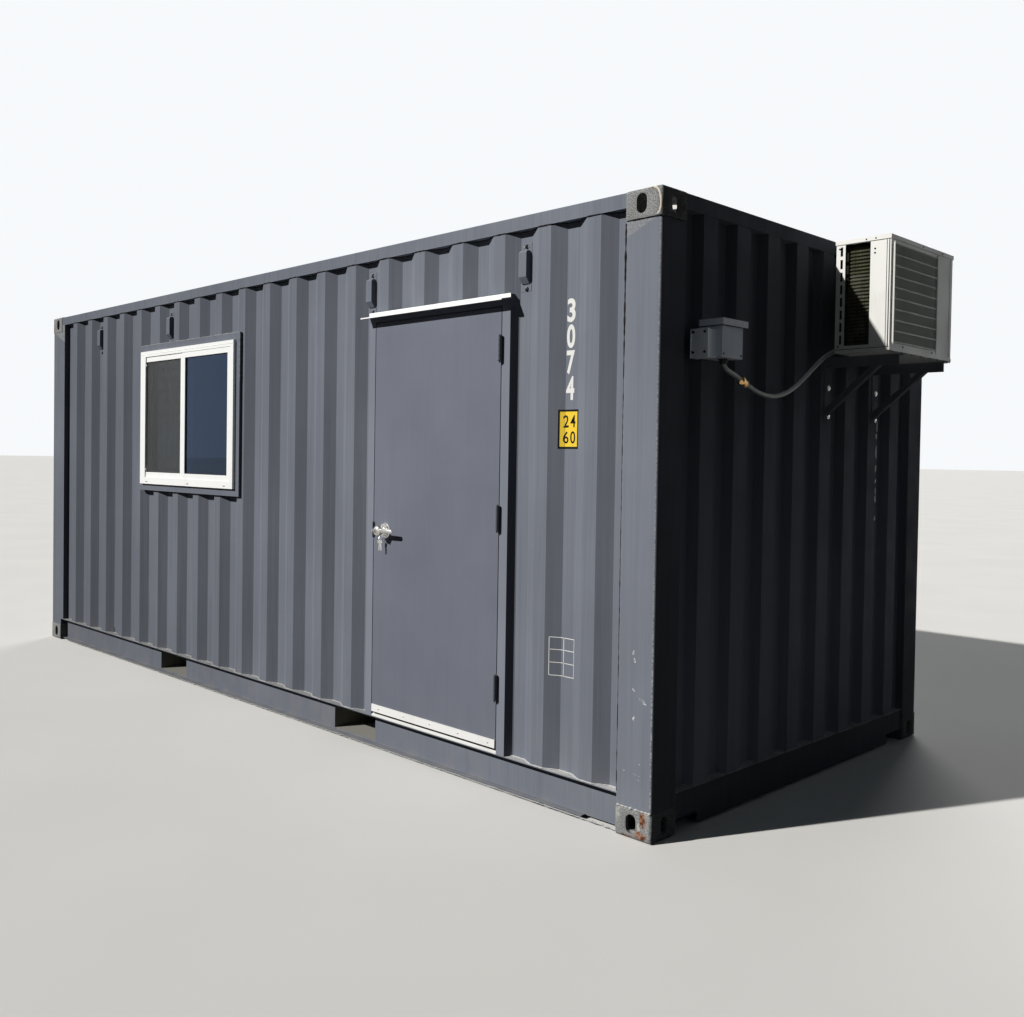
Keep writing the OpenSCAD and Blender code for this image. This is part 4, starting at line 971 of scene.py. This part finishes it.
def make_fixings():
    """Small fixings on the walls, the door, the boxes and the brackets."""
    screws, holes = Shape(), Shape()
    for x in VENTS_X:
        for dx, dz in ((-0.014, 0.093), (0.014, 0.093), (0.002, -0.088)):
            screws.screw((x + dx, -CREST_Y + 0.034, VENTS_Z + dz), -Y, 0.0052)
        for dx, dz in ((0.003, 0.094), (0.006, -0.094)):
            holes.turned((x + dx, -CREST_Y + 0.0345, VENTS_Z + dz), -Y,
                         [(0.0105, -0.001), (0.0105, 0.0022), (0.0088, 0.0030)], 16)
    screws.made("vent_screws", "bead", "steel")
    holes.made("vent_rivets", "black", "rubber")

    dots = Shape()
    for i in range(9):
        dots.screw((JAMB_L + 0.03 + i * 0.1215, FACE_Y - 0.002, HEAD_Z1 - 0.006), -Y, 0.0036)
    dots.made("drip_cap_screws", "white_metal")

    sweep = Shape()
    for x in (1.296, 1.496, 1.697, 1.902, 2.104):
        sweep.screw((x, FACE_Y - 0.004, LEAF_Z0 + 0.021), -Y, 0.0046)
    sweep.made("sweep_screws", "zinc", body="door")
    brush = Shape()
    brush.box((LEAF_X0 + 0.003, FACE_Y - 0.0035, LEAF_Z0 - 0.0030),
              (LEAF_X1 - 0.003, FACE_Y - 0.0005, LEAF_Z0 + 0.004), 0.0006)
    brush.made("sweep_seal", "rubber", body="door")

    (x0, y0, z0), (x1, y1, z1) = BOX
    fit, marks = Shape(), Shape()
    for x, z in product((0.014, 0.068), (z0 + 0.018, z1 - 0.032)):
        fit.screw((x0 + x, y0 - 0.060, z), -Y, 0.0052)
    for y in (y0 + 0.012, y1 - 0.012):
        fit.screw((x1, y, z0 + 0.014), X, 0.0042)
    fit.turned((x0 + 0.075, (y0 + y1) / 2, z0), -Z,
               [(0.011, -0.001), (0.011, 0.0012), (0.009, 0.0014)], 24)
    fit.made("box_screws", "black", "zinc")
    # Black L marks by the cover's screws: painted shadows of the screws.
    for z in (z0 + 0.020, z1 - 0.030):
        for a, b, x in ((0.010, 0.021, 0.010), (0.063, 0.074, 0.074)):
            marks.boxes(0.0003, ((x0 + a, y0 - 0.0665, z - 0.0012),
                                 (x0 + b, y0 - 0.0650, z + 0.0012)),
                        ((x0 + x - 0.0012, y0 - 0.0665, z - 0.007),
                         (x0 + x + 0.0012, y0 - 0.0650, z + 0.007)))
    edges = Shape()
    edges.boxes(0.0004, ((x1 - 0.0015, y0 - 0.0012, z0 + 0.002),
                         (x1 + 0.0010, y0 + 0.0008, z1 - 0.002)),
                ((x0 + 0.002, y0 - 0.0655, z0 - 0.005), (x0 + 0.0035, y0 - 0.0055, z0 + 0.11)))
    edges.made("box_edges", "box")
    (x0, y0, _), (x1, y1, z1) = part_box("disconnect_box")
    for name, look, slot, low, high, out, cut in (
            ("box_lid_lips", "box_lid", "box", 0.027, 0.001, 0.0012, 0.0006),
            ("box_lid_shadow_gap", "black", "rubber", 0.031, 0.0275, 0.0006, 0.0003)):
        lip = Shape()
        lip.boxes(cut, ((x1 - 0.001, y0 + 0.001, z1 - low), (x1 + out, y1 - 0.001, z1 - high)),
                  ((x0 + 0.004, y0 - out, z1 - low), (x1 - 0.001, y0 + 0.001, z1 - high)))
        lip.made(name, look, slot)
    marks.made("cover_screw_shadows", "black", "rubber")

    bolts = Shape()
    nut = [(0.0085, -0.001), (0.0085, 0.0055), (0.007, 0.0065)]
    (ux, _, uz), (ux1, _, _) = UNIT
    for y in ARMS:
        for z in (uz - 0.035, uz - 0.150, uz - 0.285):
            at = (CREST_X + 0.005, y + 0.012, z)
            bolts.turned(at, X, nut, 6)
            bolts.turned(at, X, [(0.0125, -0.001), (0.0125, 0.0016)])
        for x in (ux + 0.05, ux1 - 0.035):
            bolts.turned((x, y, uz - 0.011), -Z,
                         [(0.0085, -0.001), (0.0085, 0.006), (0.007, 0.007)], 6)
    bolts.made("bracket_bolts", "zinc")


make_fixings()


# Plain numbers and plates painted on the walls

def flat_digit(shape, text, at, size, place, bold, folds=(), lift=0.0):
    """Adds one plain numeral with its lower left corner at u and v on a wall, where
    place(u, v, w) gives a point w outside it. It is cut at folds, so it can bend there."""
    thick = 0.0006
    data = bpy.data.curves.new("numeral", "FONT")
    data.body = text
    data.offset = bold
    data.extrude = 0.1
    data.resolution_u = 6
    made = bpy.data.objects.new("numeral", data)
    mesh = bpy.data.meshes.new_from_object(made)
    (x0, x1), (y0, y1) = ((min(c), max(c)) for c in
                          ([v.co[k] for v in mesh.vertices] for k in (0, 1)))
    work = bmesh.new()
    work.from_mesh(mesh)
    for u in folds:
        bmesh.ops.bisect_plane(work, geom=work.verts[:] + work.edges[:] + work.faces[:],
                               plane_co=(x0 + u / size[0] * (x1 - x0), 0, 0),
                               plane_no=(1, 0, 0))
    work.to_mesh(mesh)
    work.free()
    shape.add([place(at[0] + (v.co.x - x0) / (x1 - x0) * size[0],
                     at[1] + (v.co.y - y0) / (y1 - y0) * size[1],
                     lift + (v.co.z + 0.1) / 0.2 * thick) for v in mesh.vertices],
              [list(f.vertices) for f in mesh.polygons])
    bpy.data.meshes.remove(mesh)
    bpy.data.objects.remove(made)
    bpy.data.curves.remove(data)


def on_side(u, v, w):
    return u, side_y(u) - w, v


def on_end(u, v, w):
    return end_x(u) + w, u, v


def make_marks():
    white = Shape()
    for i, digit in enumerate("3074"):
        flat_digit(white, digit, (2.510, 2.1005 - 0.1107 * i), (0.046, 0.101),
                   lambda u, v, w: (u, -1.178 - w, v), 0.03)
    for i, digit in enumerate("50284"):
        flat_digit(white, digit, (0.662, 1.641 - 0.112 * i), (0.086, 0.096), on_end, 0.04,
                   (0.015, 0.033))
    flat_digit(white, "6", (0.676, 1.033), (0.060, 0.080), on_end, 0.03, (0.001, 0.019))
    white.made("wall_numbers", "white_paint", "white_frame")

    plate, face, ink = Shape(), Shape(), Shape()
    plate.plate(on_side, 2.479, 2.584, 1.560, 1.728, 0.0006, 0.005)
    plate.made("plate_border", "black", "rubber")
    face.plate(on_side, 2.487, 2.576, 1.569, 1.719, 0.0010, 0.005)
    face.made("plate_face", "yellow", "white_metal")
    for row, text in ((1.652, "24"), (1.583, "60")):
        for u, digit in zip((2.500, 2.538), text):
            flat_digit(ink, digit, (u, row), (0.028, 0.052), on_side, 0.01, lift=0.001)
    ink.made("plate_numbers", "black", "rubber")

    lines = Shape()
    x0, x1, z0, z1, t = 2.457, 2.581, 0.580, 0.748, 0.0030
    for z in (z0, z1 - t, z0 + 0.056, z0 + 0.112):
        lines.plate(on_side, x0, x1, z, z + t, 0.0005, 0.006)
    for x in (x0, x1 - t, (x0 + x1) / 2):
        lines.plate(on_side, x, x + t, z0, z1, 0.0005, 0.003)
    lines.made("plate_outline", "white_paint", "white_frame")


make_marks()


# Floor, backdrop and light

def plain_stage():
    half, z = 300.0, -0.0005
    mesh = bpy.data.meshes.new("floor")
    mesh.from_pydata([(-half, -half, z), (half, -half, z), (half, half, z), (-half, half, z)],
                     [], [(0, 1, 2, 3)])
    floor = put_in_scene("floor", mesh)
    paper = (0.80, 0.79, 0.77)
    look = Look("floor_paper", paper, rough=0.9, specular=0.1)
    soft = look.span(look.noise(0.7, detail=4.0), 0.3, 0.7)
    look.finished({"Base Color": look.mix(soft, paper, (0.83, 0.82, 0.80))})
    # A plain dark ground to the light that it throws back up at the walls
    dull = look.node("BsdfDiffuse", {"Color": (0.062, 0.062, 0.060, 1.0)})
    look.feed(look.tree.nodes["Material Output"],
              {"Surface": look.pale_only(dull, look.shader)})
    mesh.materials.append(look.mat)

    world = bpy.data.worlds.new("world")
    world.use_nodes = True
    bpy.context.scene.world = world
    world.node_tree.nodes.clear()
    sky = Nodes(world.node_tree)
    fill = sky.node("Background", {0: (0.72, 0.88, 1.0, 1.0), 1: 0.030})
    pale = sky.node("Background", {0: (0.93, 0.95, 0.97, 1.0), 1: 1.0})
    sky.node("OutputWorld", {0: sky.pale_only(fill, pale)})


def sun(name, goes, strength, angle, colour=(1, 1, 1)):
    data = bpy.data.lights.new(name, "SUN")
    data.energy = strength
    data.angle = radians(angle)
    data.color = colour
    lamp = put_in_scene(name, data)
    lamp.rotation_mode = "QUATERNION"
    lamp.rotation_quaternion = goes.to_track_quat("-Z", "Y")


SUN_GOES = vec(0.351, 0.762, -0.545)

plain_stage()
sun("key", SUN_GOES, 4.0, 1.2, (1.0, 0.98, 0.945))
sun("back_fill", vec(0.45, -0.8, -0.4), 1.2, 30.0)
bpy.context.scene.view_settings.view_transform = "Standard"
